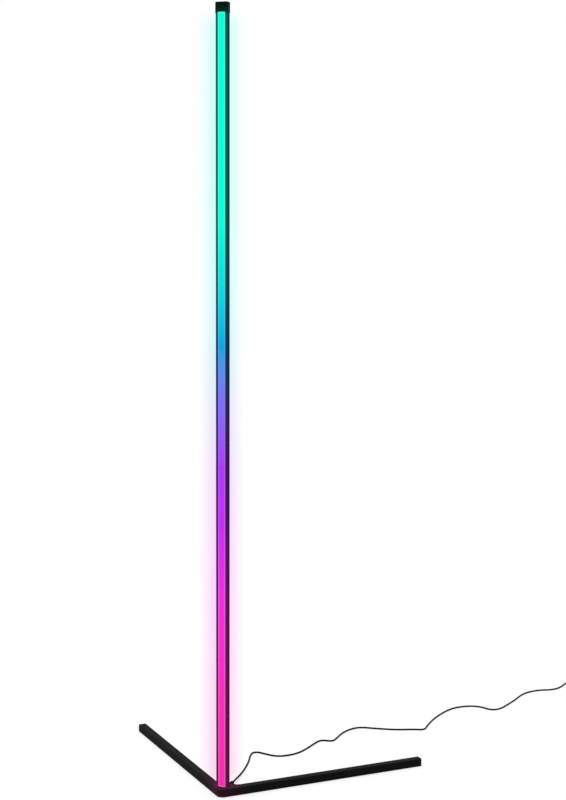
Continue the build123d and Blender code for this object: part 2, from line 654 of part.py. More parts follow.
def coil_path():
    """Half turns that spiral in on the floor, climb one layer and spiral out again above."""
    x = CONTROLLER_X
    side = 1
    radius = COIL_OUTER_RADIUS
    arcs = []
    turns_in = 2 * COIL_LOOPS_IN
    for half_turn in range(turns_in + 1 + COIL_HALF_TURNS_OUT):
        far_x = x + 2 * side * radius
        middle_x = (x + far_x) / 2
        bow_y = COIL_START_Y - side * radius
        if half_turn == turns_in:
            rise = COIL_PITCH / (2 * radius)
            low = Vector(x, COIL_START_Y, COIL_LOW)
            middle = Vector(middle_x, bow_y, (COIL_LOW + COIL_HIGH) / 2)
            high = Vector(far_x, COIL_START_Y, COIL_HIGH)
            climb = Vector(side, 0, rise).normalized()
            arcs += biarc(low, Vector(0, -side, 0), middle, climb)
            arcs += biarc(middle, climb, high, Vector(0, side, 0))
        else:
            z = COIL_LOW if half_turn < turns_in else COIL_HIGH
            arcs.append(ThreePointArc((x, COIL_START_Y, z), (middle_x, bow_y, z), (far_x, COIL_START_Y, z)))
        radius += -COIL_PITCH / 2 if half_turn < turns_in else COIL_PITCH / 2
        x = far_x
        side = -side
    return Wire(arcs)


COIL_PATH = coil_path()
COIL_END = COIL_PATH @ 1
PLUG_TAIL_ROUTE = [
    (COIL_END.X, COIL_END.Y, COIL_END.Z),
    (COIL_END.X, COIL_END.Y + 12, COIL_END.Z),
    (COIL_END.X + 1, COIL_END.Y + 26, COIL_END.Z),
    (PLUG_X, 810, 5.0),
    (PLUG_X, 823, PLUG_Z),
    (PLUG_X, PLUG_CORD_END_Y, PLUG_Z),
]


def make_coil():
    coil = swept_tube(COIL_PATH, CORD_DIAMETER)
    count = int(COIL_PATH.length)  # about one spot a millimetre
    spots = [COIL_PATH @ (i / count) for i in range(count + 1)]
    apart = int(pi * CORD_DIAMETER)  # nearer spots are the same turn
    least = min((a - b).length for i, a in enumerate(spots) for b in spots[i + apart :])
    expected = pi / 4 * CORD_DIAMETER**2 * COIL_PATH.length
    print("cord_coil length", round(COIL_PATH.length, 1), "volume ratio", round(coil.volume / expected, 5))
    print("  least gap between turns", round(least - CORD_DIAMETER, 2))
    return coil


def make_tie():
    """A band round all turns on the far side of the coil."""
    half_turns = 2 * COIL_LOOPS_IN
    inner_radius = COIL_OUTER_RADIUS - (half_turns - 1) * COIL_PITCH / 2
    outer_radius = COIL_OUTER_RADIUS - COIL_PITCH / 2
    aside = TIE_WIDTH / 2 + COIL_PITCH / 2  # the half turns are centred half a pitch to either side
    low_y = COIL_START_Y + sqrt((inner_radius - CORD_FLOOR) ** 2 - aside**2) - TIE_FIT
    high_y = COIL_START_Y + outer_radius + CORD_FLOOR + TIE_FIT
    high_z = COIL_HIGH + CORD_FLOOR + COIL_GAP / 2 + TIE_THICKNESS
    room = (high_y - low_y, high_z - 2 * TIE_THICKNESS)
    side = Plane(
        origin=(CONTROLLER_X + COIL_OUTER_RADIUS, (low_y + high_y) / 2, high_z / 2),
        x_dir=(0, 1, 0),
        z_dir=(1, 0, 0),
    )
    band = RectangleRounded(room[0] + 2 * TIE_THICKNESS, room[1] + 2 * TIE_THICKNESS, 2 * TIE_THICKNESS)
    band -= RectangleRounded(*room, TIE_THICKNESS)
    return side * extrude(band, TIE_WIDTH / 2, both=True)


# Controller, in its own frame: X along the cord away from the lamp, Z up
BOARD_LOW = CONTROLLER_WALL + BOARD_REST
BOARD_TOP = BOARD_LOW + BOARD_THICKNESS
ROOF = CONTROLLER_HEIGHT - CONTROLLER_WALL
BUTTON_FLANGE_TOP = ROOF - BUTTON_FIT
BUTTON_LOW = BUTTON_FLANGE_TOP - BUTTON_FLANGE_THICKNESS
BUTTON_PLACES = [(i - 1) * BUTTON_SPACING for i in range(3)]
CONTROLLER_END = CONTROLLER_LENGTH / 2
SCREW_PLACE_X = CONTROLLER_END - CONTROLLER_WALL - BOOT_FLANGE_THICKNESS - CONTROLLER_POST / 2 - SLIDE_FIT
SCREW_PLACE_Y = CONTROLLER_WIDTH / 2 - CONTROLLER_WALL - CONTROLLER_POST / 2 + POST_SINK


def controller_case():
    plan = RectangleRounded(CONTROLLER_LENGTH, CONTROLLER_WIDTH, CONTROLLER_CORNER_RADIUS)
    case = extrude(plan, CONTROLLER_HEIGHT)
    rims = case.faces().sort_by(Axis.Z)
    case = fillet(rims[0].edges() + rims[-1].edges(), CONTROLLER_EDGE_RADIUS)
    room = RectangleRounded(
        CONTROLLER_LENGTH - 2 * CONTROLLER_WALL,
        CONTROLLER_WIDTH - 2 * CONTROLLER_WALL,
        CONTROLLER_CORNER_RADIUS - CONTROLLER_WALL,
    )
    case -= Pos(0, 0, CONTROLLER_WALL) * extrude(room, CONTROLLER_HEIGHT - 2 * CONTROLLER_WALL)
    for end in (-1, 1):
        hole = Cylinder(BOOT_NECK_DIAMETER / 2 + SCREW_FIT, CONTROLLER_WALL * 2)
        case -= Pos(end * CONTROLLER_END, 0, CONTROLLER_SPLIT) * Rot(0, 90, 0) * hole
    return case


def screw_spots():
    return [Pos(x, y, 0) for x, y in ((SCREW_PLACE_X, SCREW_PLACE_Y), (-SCREW_PLACE_X, -SCREW_PLACE_Y))]


def make_lower_shell():
    below = Box(CONTROLLER_LENGTH, CONTROLLER_WIDTH, CONTROLLER_SPLIT, align=LOW)
    shell = controller_case() & below
    room_width = CONTROLLER_WIDTH - 2 * CONTROLLER_WALL
    for x in (-BOARD_LENGTH / 3, BOARD_LENGTH / 3):
        shell += Pos(x, 0, CONTROLLER_WALL) * Box(BOARD_RIB, room_width, BOARD_REST, align=LOW)
    for spot in screw_spots():
        shell += spot * Cylinder(CONTROLLER_POST / 2, CONTROLLER_SPLIT, align=LOW)
    return shell - [spot * flat_screw(CONTROLLER_SCREW, SCREW_FIT) for spot in screw_spots()]


def make_upper_shell():
    above = Box(CONTROLLER_LENGTH, CONTROLLER_WIDTH, CONTROLLER_HEIGHT, align=LOW)
    shell = controller_case() & Pos(0, 0, CONTROLLER_SPLIT) * above
    for spot in screw_spots():
        post = Cylinder(CONTROLLER_POST / 2, ROOF - CONTROLLER_SPLIT, align=LOW)
        shell += spot * Pos(0, 0, CONTROLLER_SPLIT) * post
    for x in BUTTON_PLACES:
        shell -= Pos(x, 0, ROOF) * Cylinder(BUTTON_DIAMETER / 2, CONTROLLER_WALL, align=LOW)
    shell -= Pos(MICROPHONE_X, 0, ROOF) * Cylinder(SOUND_HOLE_DIAMETER / 2, CONTROLLER_WALL, align=LOW)
    return shell - [spot * flat_screw(CONTROLLER_SCREW, SCREW_FIT) for spot in screw_spots()]


def make_board():
    board = Pos(0, 0, BOARD_LOW) * Box(BOARD_LENGTH, BOARD_WIDTH, BOARD_THICKNESS, align=LOW)
    notch = CONTROLLER_POST / 2 + SLIDE_FIT
    return board - [spot * Cylinder(notch, CONTROLLER_HEIGHT, align=LOW) for spot in screw_spots()]


def make_switches():
    plunger_top = BUTTON_LOW - BUTTON_TRAVEL - BUTTON_STOP_GAP
    switch = Box(SWITCH_SIZE, SWITCH_SIZE, SWITCH_HEIGHT, align=LOW)
    switch += Cylinder(PLUNGER_DIAMETER / 2, plunger_top - BOARD_TOP, align=LOW)
    return [Pos(x, 0, BOARD_TOP) * switch for x in BUTTON_PLACES]


def make_button(x):
    radius = BUTTON_DIAMETER / 2 - BUTTON_FIT
    high = CONTROLLER_HEIGHT + BUTTON_PROUD
    button = Cylinder(radius, high - BUTTON_LOW, align=LOW)
    button = fillet(button.edges().sort_by(Axis.Z)[-1], BUTTON_CROWN_RADIUS)
    button += Cylinder(radius + BUTTON_FLANGE, BUTTON_FLANGE_THICKNESS, align=LOW)
    return Pos(x, 0, BUTTON_LOW) * button


CHIP_X = -BUTTON_SPACING / 2
CAN_X = BUTTON_SPACING / 2
MICROPHONE_X = (BUTTON_PLACES[-1] + SWITCH_SIZE / 2 + BOARD_LENGTH / 2) / 2


def make_chip():
    length, width, height = CHIP_SIZE
    return Pos(CHIP_X, 0, BOARD_TOP) * Box(width, length, height, align=LOW)


def make_can():
    return Pos(CAN_X, 0, BOARD_TOP) * Cylinder(CAN_DIAMETER / 2, CAN_HEIGHT, align=LOW)


def make_microphone():
    return Pos(MICROPHONE_X, 0, BOARD_TOP) * Cylinder(MICROPHONE_DIAMETER / 2, MICROPHONE_HEIGHT, align=LOW)


def make_controller_boot(end):
    boot = tapered_boot(
        BOOT_LENGTH,
        BOOT_ROOT_DIAMETER,
        BOOT_TIP_DIAMETER,
        BOOT_NECK_DIAMETER,
        CONTROLLER_WALL,
        BOOT_FLANGE_DIAMETER,
        BOOT_FLANGE_THICKNESS,
    )
    return Pos(end * CONTROLLER_END, 0, CONTROLLER_SPLIT) * Rot(0, 90 * end, 0) * boot


def make_controller_screws():
    return [CONTROLLER.location * spot * flat_screw(CONTROLLER_SCREW) for spot in screw_spots()]


# Plug, in its own frame: Z along the cord away from the lamp, Y up
SHELL_START = PLUG_BOOT_LENGTH + PLUG_LENGTH - SHELL_IN_BODY
SHELL_END = PLUG_BOOT_LENGTH + PLUG_LENGTH + SHELL_LENGTH
TONGUE_END = SHELL_END - TONGUE_SETBACK
TONGUE_SPACE = SHELL_WIDTH - 2 * SHELL_WALL
TONGUE_Y_UP = SHELL_HEIGHT / 2 - SHELL_WALL - TONGUE_HEIGHT / 2 - SCREW_FIT


def make_plug_body():
    plan = RectangleRounded(PLUG_WIDTH, PLUG_HEIGHT, PLUG_EDGE_RADIUS)
    body = Pos(0, 0, PLUG_BOOT_LENGTH) * extrude(plan, PLUG_LENGTH)
    back_rim = body.faces().sort_by(Axis.Z)[0].edges()
    body = fillet(back_rim, PLUG_EDGE_RADIUS / 2)
    body += Cone(PLUG_BOOT_TIP / 2, PLUG_BOOT_ROOT / 2, PLUG_BOOT_LENGTH + PLUG_BOOT_SINK, align=LOW)
    socket = extrude(Rectangle(SHELL_WIDTH + 2 * SCREW_FIT, SHELL_HEIGHT + 2 * SCREW_FIT), SHELL_IN_BODY)
    return body - Pos(0, 0, SHELL_START) * socket


def make_plug_shell():
    shell = Rectangle(SHELL_WIDTH, SHELL_HEIGHT)
    shell -= Rectangle(SHELL_WIDTH - 2 * SHELL_WALL, SHELL_HEIGHT - 2 * SHELL_WALL)
    shell = Pos(0, 0, SHELL_START) * extrude(shell, SHELL_END - SHELL_START)
    for x in (-SHELL_WINDOW_SPREAD, SHELL_WINDOW_SPREAD):
        shell -= Pos(x, 0, SHELL_END - SHELL_WINDOW_SETBACK) * Box(SHELL_WINDOW, SHELL_HEIGHT, SHELL_WINDOW)
    return shell


def make_plug_tongue():
    block = Rectangle(TONGUE_SPACE - 2 * SCREW_FIT, TONGUE_HEIGHT)
    return Pos(0, TONGUE_Y_UP, SHELL_START) * extrude(block, TONGUE_END - SHELL_START)


def make_plug_contacts():
    width, length, thickness = CONTACT_SIZE
    y = TONGUE_Y_UP - TONGUE_HEIGHT / 2 - thickness / 2
    z = TONGUE_END - CONTACT_SETBACK - length / 2
    return [PLUG.location * Pos(x, y, z) * Box(width, thickness, length) for x in CONTACT_SPREAD]


def in_controller(part):
    return CONTROLLER.location * part


def in_plug(part):
    return PLUG.location * part


RIGHT_LEG_TUBE = make_right_leg()
RIGHT_END_PLUG = make_right_end_plug()
NODES = {
    "corner_block": make_corner_block(),
    "corner_cover": make_corner_cover(),
    "cover_screws": both_sides(cover_screw_place() * flat_screw(COVER_SCREW)),
    "right_leg": RIGHT_LEG_TUBE,
    "left_leg": left_of(RIGHT_LEG_TUBE),
    "right_leg_end_plug": RIGHT_END_PLUG,
    "left_leg_end_plug": left_of(RIGHT_END_PLUG),
    "leg_screws": both_sides(leg_screw_place() * flat_screw(LEG_SCREW)),
    "corner_foot_pad": make_corner_pad(),
    "leg_foot_pads": make_leg_pads(),
    "column_bracket": make_column_bracket(),
    "bracket_screws": [place * flat_screw(BRACKET_SCREW) for place in bracket_screw_places()],
    "column_gasket": make_gasket(),
    "lower_channel": make_channel(COLUMN_FOOT, COLUMN_JOINT),
    "upper_channel": make_channel(COLUMN_JOINT, COLUMN_TOP),
    "channel_joiner": make_joiner(),
    "column_screws": [place * flat_screw(COLUMN_SCREW) for place in column_screw_places()],
    "diffuser": make_diffuser(),
    "top_cap": make_top_cap(),
    "led_strip_board": make_strip_board(),
    "led_chips": make_led_chips(),
    "strip_capacitors": make_strip_capacitors(),
    "feed_wires": make_feed_wires(),
    "cord_strain_relief": make_strain_relief(),
    "lamp_cord": make_cord("lamp_cord", LAMP_CORD_ROUTE),
    "controller_lower_shell": in_controller(make_lower_shell()),
    "controller_upper_shell": in_controller(make_upper_shell()),
    "controller_board": in_controller(make_board()),
    "controller_switches": [in_controller(switch) for switch in make_switches()],
    "controller_chip": in_controller(make_chip()),
    "controller_capacitor": in_controller(make_can()),
    "controller_microphone": in_controller(make_microphone()),
    "power_button": in_controller(make_button(BUTTON_PLACES[0])),
    "colour_button": in_controller(make_button(BUTTON_PLACES[1])),
    "mode_button": in_controller(make_button(BUTTON_PLACES[2])),
    "controller_screws": make_controller_screws(),
    "controller_inlet_boot": in_controller(make_controller_boot(-1)),
    "controller_outlet_boot": in_controller(make_controller_boot(1)),
    "plug_cord_lead": make_cord("plug_cord_lead", PLUG_LEAD_ROUTE),
    "cord_coil": make_coil(),
    "cord_tie": make_tie(),
    "plug_cord_tail": make_cord("plug_cord_tail", PLUG_TAIL_ROUTE),
    "usb_plug_body": in_plug(make_plug_body()),
    "usb_plug_shell": in_plug(make_plug_shell()),
    "usb_plug_tongue": in_plug(make_plug_tongue()),
    "usb_plug_contacts": make_plug_contacts(),
}

for node, shape in NODES.items():
    pieces = shape if isinstance(shape, list) else [shape]
    solids = [solid for piece in pieces for solid in piece.solids()]
    export_step(Compound(children=solids), f"parts/{node}.step")
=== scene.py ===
# %% [markdown]
# A corner floor lamp, dressed in Blender.
# The lamp is a slim black channel with an opal strip along its front, standing on two square bars that
# meet in a cast corner. A thin cord runs from the corner over the floor to a small push-button
# controller. The construction comes in as solids at their real size. Here they get their finishes, the
# cord gets its soft line, and a camera, a floor and soft light show the result.

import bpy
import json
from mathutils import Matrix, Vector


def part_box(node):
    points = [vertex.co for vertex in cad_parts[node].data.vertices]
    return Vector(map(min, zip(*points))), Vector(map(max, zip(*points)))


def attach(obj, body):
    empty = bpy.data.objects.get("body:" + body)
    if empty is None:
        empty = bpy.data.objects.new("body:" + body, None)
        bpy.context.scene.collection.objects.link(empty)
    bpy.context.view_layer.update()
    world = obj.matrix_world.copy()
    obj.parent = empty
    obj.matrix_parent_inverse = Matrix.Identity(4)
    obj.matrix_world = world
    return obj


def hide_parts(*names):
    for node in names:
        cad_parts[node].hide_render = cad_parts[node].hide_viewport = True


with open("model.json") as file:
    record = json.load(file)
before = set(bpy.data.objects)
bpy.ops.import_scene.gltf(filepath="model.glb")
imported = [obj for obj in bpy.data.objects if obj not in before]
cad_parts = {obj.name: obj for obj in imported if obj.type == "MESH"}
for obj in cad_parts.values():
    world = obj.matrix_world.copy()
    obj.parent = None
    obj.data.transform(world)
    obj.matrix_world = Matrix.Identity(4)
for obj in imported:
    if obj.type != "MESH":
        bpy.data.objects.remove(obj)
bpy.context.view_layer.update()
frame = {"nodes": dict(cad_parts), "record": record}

# %% [markdown]
# Blender counts in metres, but a lamp is drawn in millimetres. One value turns the second into the
# first.

# %% Modules and units
import json
import math

import bmesh
import bpy
from mathutils import Matrix, Vector

MM = 0.001
print("one millimetre is", MM, "m")

# %% [markdown]
# The camera stands three metres in front of the lamp, to its right and lower than its cap, and looks
# slightly down. So the base shows its top, the cap hides its own, and the right side of the column
# shows. The camera could be aimed by a constraint, but a place, three angles and a focal length say the
# same in plain numbers.

# %% Camera
CAMERA_EYE = Vector((1.10107, -2.7232, 1.07904))
CAMERA_YAW = math.radians(-19.96)
CAMERA_PITCH = math.radians(-7.01)
CAMERA_ROLL = math.radians(0.23)
FOCAL_PIXELS = 1690.29
IMAGE_HEIGHT = 800
SENSOR_MM = 36.0
FARTHEST = 200.0

camera_data = bpy.data.cameras.new("camera")
camera_data.sensor_width = SENSOR_MM
camera_data.lens = FOCAL_PIXELS * SENSOR_MM / IMAGE_HEIGHT
camera_data.clip_end = FARTHEST
camera = bpy.data.objects.new("camera", camera_data)
bpy.context.collection.objects.link(camera)

level = Vector((math.sin(CAMERA_YAW), math.cos(CAMERA_YAW), 0))
ahead = level * math.cos(CAMERA_PITCH) + Vector((0, 0, math.sin(CAMERA_PITCH)))
right = Vector((math.cos(CAMERA_YAW), -math.sin(CAMERA_YAW), 0))
axes = Matrix((right, right.cross(ahead), -ahead)).transposed() @ Matrix.Rotation(CAMERA_ROLL, 3, "Z")
camera.matrix_world = Matrix.Translation(CAMERA_EYE) @ axes.to_4x4()
bpy.context.scene.camera = camera
print("camera: lens", round(camera_data.lens, 2), "mm at", list(CAMERA_EYE))

# %% [markdown]
# The cord is a soft, thin lead. It leaves the strain relief behind the column, comes down to the floor,
# lies there in loose waves and goes into the controller. A mesh tube could follow it, but a NURBS curve
# with a round bevel needs only the points that are listed, and stays smooth between them.
# Points are in metres.

# %% Route of the cord, from the lamp to the controller
CORD_DIAMETER = 3.5 * MM
CORD_FLOOR = CORD_DIAMETER / 2
RELIEF_EXIT = (0.0, 0.0452865, 0.00835)
CONTROLLER_X = 0.509
CONTROLLER_SEAM = 0.0046

LAMP_CORD_ON_FLOOR = [
    (-0.010, 0.122), (-0.014, 0.150), (-0.021, 0.184), (-0.028, 0.207), (-0.031, 0.222),
    (-0.032, 0.232), (-0.024, 0.239), (-0.014, 0.236), (0.001, 0.232), (0.018, 0.229),
    (0.033, 0.237), (0.046, 0.252), (0.054, 0.270), (0.059, 0.297), (0.062, 0.325),
    (0.067, 0.352), (0.092, 0.351), (0.093, 0.375), (0.093, 0.404), (0.099, 0.433),
    (0.114, 0.456), (0.148, 0.459), (0.189, 0.466), (0.221, 0.481), (0.243, 0.486),
    (0.241, 0.512), (0.241, 0.554), (0.247, 0.603), (0.260, 0.649), (0.287, 0.674),
    (0.313, 0.678), (0.338, 0.663), (0.355, 0.676), (0.363, 0.712), (0.371, 0.752),
    (0.375, 0.789), (0.384, 0.816), (0.404, 0.841), (0.431, 0.853), (0.444, 0.876),
    (0.449, 0.910), (0.453, 0.940), (0.465, 0.965), (0.489, 0.973), (0.507, 0.957),
]
LAMP_CORD_ROUTE = [
    RELIEF_EXIT,
    (0.0, 0.0542865, 0.00835),
    (-0.003, 0.070, 0.0066),
    (-0.007, 0.095, 0.0029),
    *[(x, y, CORD_FLOOR) for x, y in LAMP_CORD_ON_FLOOR],
    (0.510, 0.937, 0.0032),
    (CONTROLLER_X, 0.923, CONTROLLER_SEAM),
    (CONTROLLER_X, 0.912, CONTROLLER_SEAM),
]
print("lamp cord:", len(LAMP_CORD_ROUTE), "points")

# %% [markdown]
# Behind the controller the same lead goes on to the plug, but most of it is put away in a round coil.
# The coil could be one helix. Half turns are nearer to how a hand winds it: each is a little narrower
# than the one before, then the lead climbs onto the first layer and winds outwards again.

# %% Route of the cord, from the controller through the coil to the plug
COIL_START_Y = 0.770
COIL_LOW = 0.0026
COIL_PITCH = 0.004
COIL_OUTER_RADIUS = 0.025
HALF_TURNS_IN = 6
HALF_TURNS_OUT = 4
POINTS_PER_HALF_TURN = 8
PLUG_EXIT = (CONTROLLER_X, 0.822, CONTROLLER_SEAM)
PLUG_X = 0.557


def layer_of(half_turn, share):
    """Nothing on the first layer, one on the second, and a smooth climb between them."""
    if half_turn == HALF_TURNS_IN:
        return share * share * (3 - 2 * share)
    return int(half_turn > HALF_TURNS_IN)


def coil_points():
    """Half turns that spiral in, climb one layer and spiral out again."""
    step = math.pi / POINTS_PER_HALF_TURN
    points = []
    x = CONTROLLER_X
    side = 1
    radius = COIL_OUTER_RADIUS
    for half_turn in range(HALF_TURNS_IN + 1 + HALF_TURNS_OUT):
        reach = radius / math.cos(step / 2)
        for i in range(POINTS_PER_HALF_TURN):
            angle = (i + 0.5) * step
            share = (i + 0.5) / POINTS_PER_HALF_TURN
            points.append((
                x + side * (radius - reach * math.cos(angle)),
                COIL_START_Y - side * reach * math.sin(angle),
                COIL_LOW + layer_of(half_turn, share) * COIL_PITCH,
            ))
        x += 2 * side * radius
        radius += -COIL_PITCH / 2 if half_turn < HALF_TURNS_IN else COIL_PITCH / 2
        side = -side
    return points


COIL_END = (0.555, COIL_START_Y, COIL_LOW + COIL_PITCH)
PLUG_CORD_ROUTE = [
    PLUG_EXIT,
    (CONTROLLER_X, 0.811, CONTROLLER_SEAM),
    (CONTROLLER_X, 0.797, 0.0032),
    (CONTROLLER_X, 0.782, COIL_LOW),
    *coil_points(),
    (COIL_END[0], 0.782, COIL_END[2]),
    (0.556, 0.796, COIL_END[2]),
    (PLUG_X, 0.810, 0.005),
    (PLUG_X, 0.823, 0.004),
    (PLUG_X, 0.834, 0.004),
]
print("plug cord:", len(PLUG_CORD_ROUTE), "points")

# %% [markdown]
# Both routes become curves in the same way. The bevel could hold the thickness while each point's radius
# stays at one, but Blender adds that radius to the curve's box, as a whole metre. So the bevel is one
# here, and each point's radius is that of the cord.

# %% Lay both cords
BEVEL_STEPS = 4
STEPS_BETWEEN_POINTS = 6
CURVE_ORDER = 3


def lay_cord(name, route):
    """A smooth round cord along a route; it is put on the lamp's body after it is laid."""
    curve = bpy.data.curves.new(name, "CURVE")
    curve.dimensions = "3D"
    curve.bevel_depth = 1.0
    curve.bevel_resolution = BEVEL_STEPS
    curve.use_fill_caps = True
    spline = curve.splines.new("NURBS")
    spline.points.add(len(route) - 1)
    for point, place in zip(spline.points, route):
        point.co = (*place, 1.0)
        point.radius = CORD_DIAMETER / 2
    spline.order_u = CURVE_ORDER
    spline.use_endpoint_u = True
    spline.resolution_u = STEPS_BETWEEN_POINTS
    cord = bpy.data.objects.new(name, curve)
    bpy.context.collection.objects.link(cord)
    return cord


lamp_flex = lay_cord("lamp_flex", LAMP_CORD_ROUTE)
plug_flex = lay_cord("plug_flex", PLUG_CORD_ROUTE)
for flex in (lamp_flex, plug_flex):
    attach(flex, "lamp")
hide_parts("lamp_cord")
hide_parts("plug_cord_lead", "cord_coil", "plug_cord_tail")
print("cords laid:", lamp_flex.name, plug_flex.name)

# %% [markdown]
# Colours are chosen as hex values, as a paint card gives them, and shaders count in linear light, so
# one function turns one into the other. Another adds a shader node with its settings, and fills each
# input with a plain value or with the output of an earlier node. All finishes below are built from
# these two.

# %% Colour and node helpers
BLACK = (0, 0, 0, 1)
WHITE = (1, 1, 1, 1)


def linear(colour):
    """An sRGB hex value as linear red, green and blue, with full alpha."""
    shares = [int(colour[i : i + 2], 16) / 255 for i in (1, 3, 5)]
    return (*[s / 12.92 if s <= 0.04045 else ((s + 0.055) / 1.055) ** 2.4 for s in shares], 1.0)


def add(tree, kind, inputs=(), **settings):
    """Adds a node, gives it its settings, and fills its inputs with values or links."""
    node = tree.nodes.new(kind)
    for name, value in settings.items():
        setattr(node, name, value)
    for name, value in dict(inputs).items():
        if isinstance(value, bpy.types.NodeSocket):
            tree.links.new(value, node.inputs[name])
        else:
            node.inputs[name].default_value = value
    return node


def scale_of(size_mm):
    """The texture scale at which one bump or patch is that many millimetres wide."""
    return 1 / (size_mm * MM)


def new_finish(name):
    """A material, its node tree and its main shader."""
    material = bpy.data.materials.new(name)
    material.use_nodes = True
    return material, material.node_tree, material.node_tree.nodes["Principled BSDF"]


def let_glow(tree, colour, strength=1.0):
    """Makes a finish give off a colour by itself."""
    shader = tree.nodes["Principled BSDF"]
    tree.links.new(colour, shader.inputs["Emission Color"])
    shader.inputs["Emission Strength"].default_value = strength


print("a mid grey in linear light:", round(linear("#808080")[0], 3))

# %% [markdown]
# Most pieces are moulded, cast, coated or plated. All of these surfaces are nearly one colour, with
# faint patches of tone, patches of gloss to match, and a fine grain in relief. One function gives that,
# and each finish says how wide its patches and its grain are. The finest grains, such as the pits of a
# spark-eroded mould, are a tenth of a millimetre or less. They are drawn a few times coarser, so that
# they show close up. Sheen stands for the shader's specular level: how much of the room a surface
# mirrors besides its own colour.

# %% Finish shared by coated, moulded and plated pieces
PATCH_DETAIL = 3.0
GRAIN_DETAIL = 2.0
NOISE_LOW = 0.3
NOISE_HIGH = 0.7
FINISHES = {}


def grained_finish(name, dark, light, patch_mm, grain_mm, relief_mm, roughness, sheen=None):
    """Tone and roughness run together in patches, and finer noise gives the grain its relief."""
    material, tree, shader = new_finish(name)
    place = add(tree, "ShaderNodeTexCoord").outputs["Object"]
    patches = add(tree, "ShaderNodeTexNoise", {
        "Vector": place, "Scale": scale_of(patch_mm), "Detail": PATCH_DETAIL,
    }).outputs["Fac"]
    tone = add(
        tree, "ShaderNodeMix", {0: patches, 6: linear(dark), 7: linear(light)}, data_type="RGBA"
    ).outputs[2]
    smooth, rough = roughness
    gloss = add(tree, "ShaderNodeMapRange", {
        "Value": patches, "From Min": NOISE_LOW, "From Max": NOISE_HIGH,
        "To Min": smooth, "To Max": rough,
    }).outputs["Result"]
    grain = add(tree, "ShaderNodeTexNoise", {
        "Vector": place, "Scale": scale_of(grain_mm), "Detail": GRAIN_DETAIL,
    }).outputs["Fac"]
    relief = add(
        tree, "ShaderNodeBump", {"Height": grain, "Strength": 1.0, "Distance": relief_mm * MM}
    ).outputs["Normal"]
    for socket, source in (("Base Color", tone), ("Roughness", gloss), ("Normal", relief)):
        tree.links.new(source, shader.inputs[socket])
    if sheen is not None:
        shader.inputs["Specular IOR Level"].default_value = sheen
    return material


print("patches and grain ready")

# %% [markdown]
# The lit strip is the colour of the lamp. It runs from turquoise at the top through blue and violet to
# magenta at the foot, and its light spills over the channel's lips, the cap and the top of the corner.
# The same run of colours is needed in all these finishes. A picture could hold it, but a colour ramp by
# height in metres needs only nine colours and stays smooth between them.

# %% Run of colours along the strip
STRIP_LOW, STRIP_HIGH = (corner.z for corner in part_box("diffuser"))
STRIP_COLOURS = [
    (0.03, "#f22eb0"),  # pink
    (0.16, "#f72cba"),
    (0.36, "#f02be0"),  # magenta
    (0.50, "#c82af5"),  # purple
    (0.60, "#aa38f7"),  # violet
    (0.72, "#7a70f6"),  # blue violet
    (0.81, "#08a2e3"),  # sky blue
    (0.90, "#05d5e0"),  # cyan
    (1.03, "#05fdd7"),  # turquoise
]
FOOT_COLOUR = linear(STRIP_COLOURS[0][1])
HEAD_COLOUR = linear(STRIP_COLOURS[-1][1])


def set_stops(stops, wanted):
    """Fills a colour ramp with places and colours, in order."""
    while len(stops) < len(wanted):
        stops.new(1.0)
    for stop, (position, colour) in zip(stops, wanted):
        stop.position = position
        stop.color = colour


def strip_colour(tree, place, colours=STRIP_COLOURS):
    """The colour of the strip, or of its painted halo, at the height of a spot, and the spot's X, Y and
    Z.
    """
    spot = add(tree, "ShaderNodeSeparateXYZ", {"Vector": place}).outputs
    share = add(
        tree, "ShaderNodeMapRange", {"Value": spot["Z"], "From Min": STRIP_LOW, "From Max": STRIP_HIGH}
    ).outputs["Result"]
    run = add(tree, "ShaderNodeValToRGB", {"Fac": share})
    length = STRIP_HIGH - STRIP_LOW
    set_stops(run.color_ramp.elements, [((z - STRIP_LOW) / length, linear(c)) for z, c in colours])
    return run.outputs["Color"], spot


print("strip from", round(STRIP_LOW, 4), "to", round(STRIP_HIGH, 4), "m,", len(STRIP_COLOURS), "colours")

# %% [markdown]
# The warm lower half of the strip washes out further at its edges, and its light painted on the channel
# is stronger than that of the cool upper half. Two finishes need that, so it is a factor by height: one
# above, larger below, with a soft change.

# %% Extra light along the warm half
WARM_FULL = 0.45
WARM_START = 0.70


def gain_below(tree, height, gain):
    """One along the upper half of the strip, and a larger factor along its warm lower half."""
    return add(tree, "ShaderNodeMapRange", {
        "Value": height, "From Min": WARM_FULL, "From Max": WARM_START, "To Min": gain, "To Max": 1.0,
    }).outputs["Result"]


print("warm below", WARM_FULL, "m, plain above", WARM_START, "m")

# %% [markdown]
# The strip itself is flexible opal plastic, extruded, and lit from behind. Opal glows evenly, but its
# edges and its two ends scatter more of the light, so they are paler. The glow is Emission on a plain
# shader, whose strength stays at a level at which the colour shows as it is written, and the body takes
# the same hue: the glow is painted into the body's colour at a fifth of its strength.

# %% Opal strip
STRIP_GLOW = 0.91
BODY_PAINTED_GLOW_SHARE = 0.2
OPAL_ROUGHNESS = 0.6
OPAL_SHEEN = 0.04
EDGE_START = 3.6 * MM
EDGE_FULL = 6.2 * MM
EDGE_PALE = 0.1
EDGE_PALE_GAIN = 1.6
END_PALE = 0.26
END_RIM = 2.6 * MM
PALE = linear("#d2d2d2")
CAP_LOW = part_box("top_cap")[0].z
# the cap's skirt is cut out this high in front of the strip
CAP_NOTCH_HEIGHT = 1.7 * MM
CAP_NOTCH = CAP_LOW + CAP_NOTCH_HEIGHT


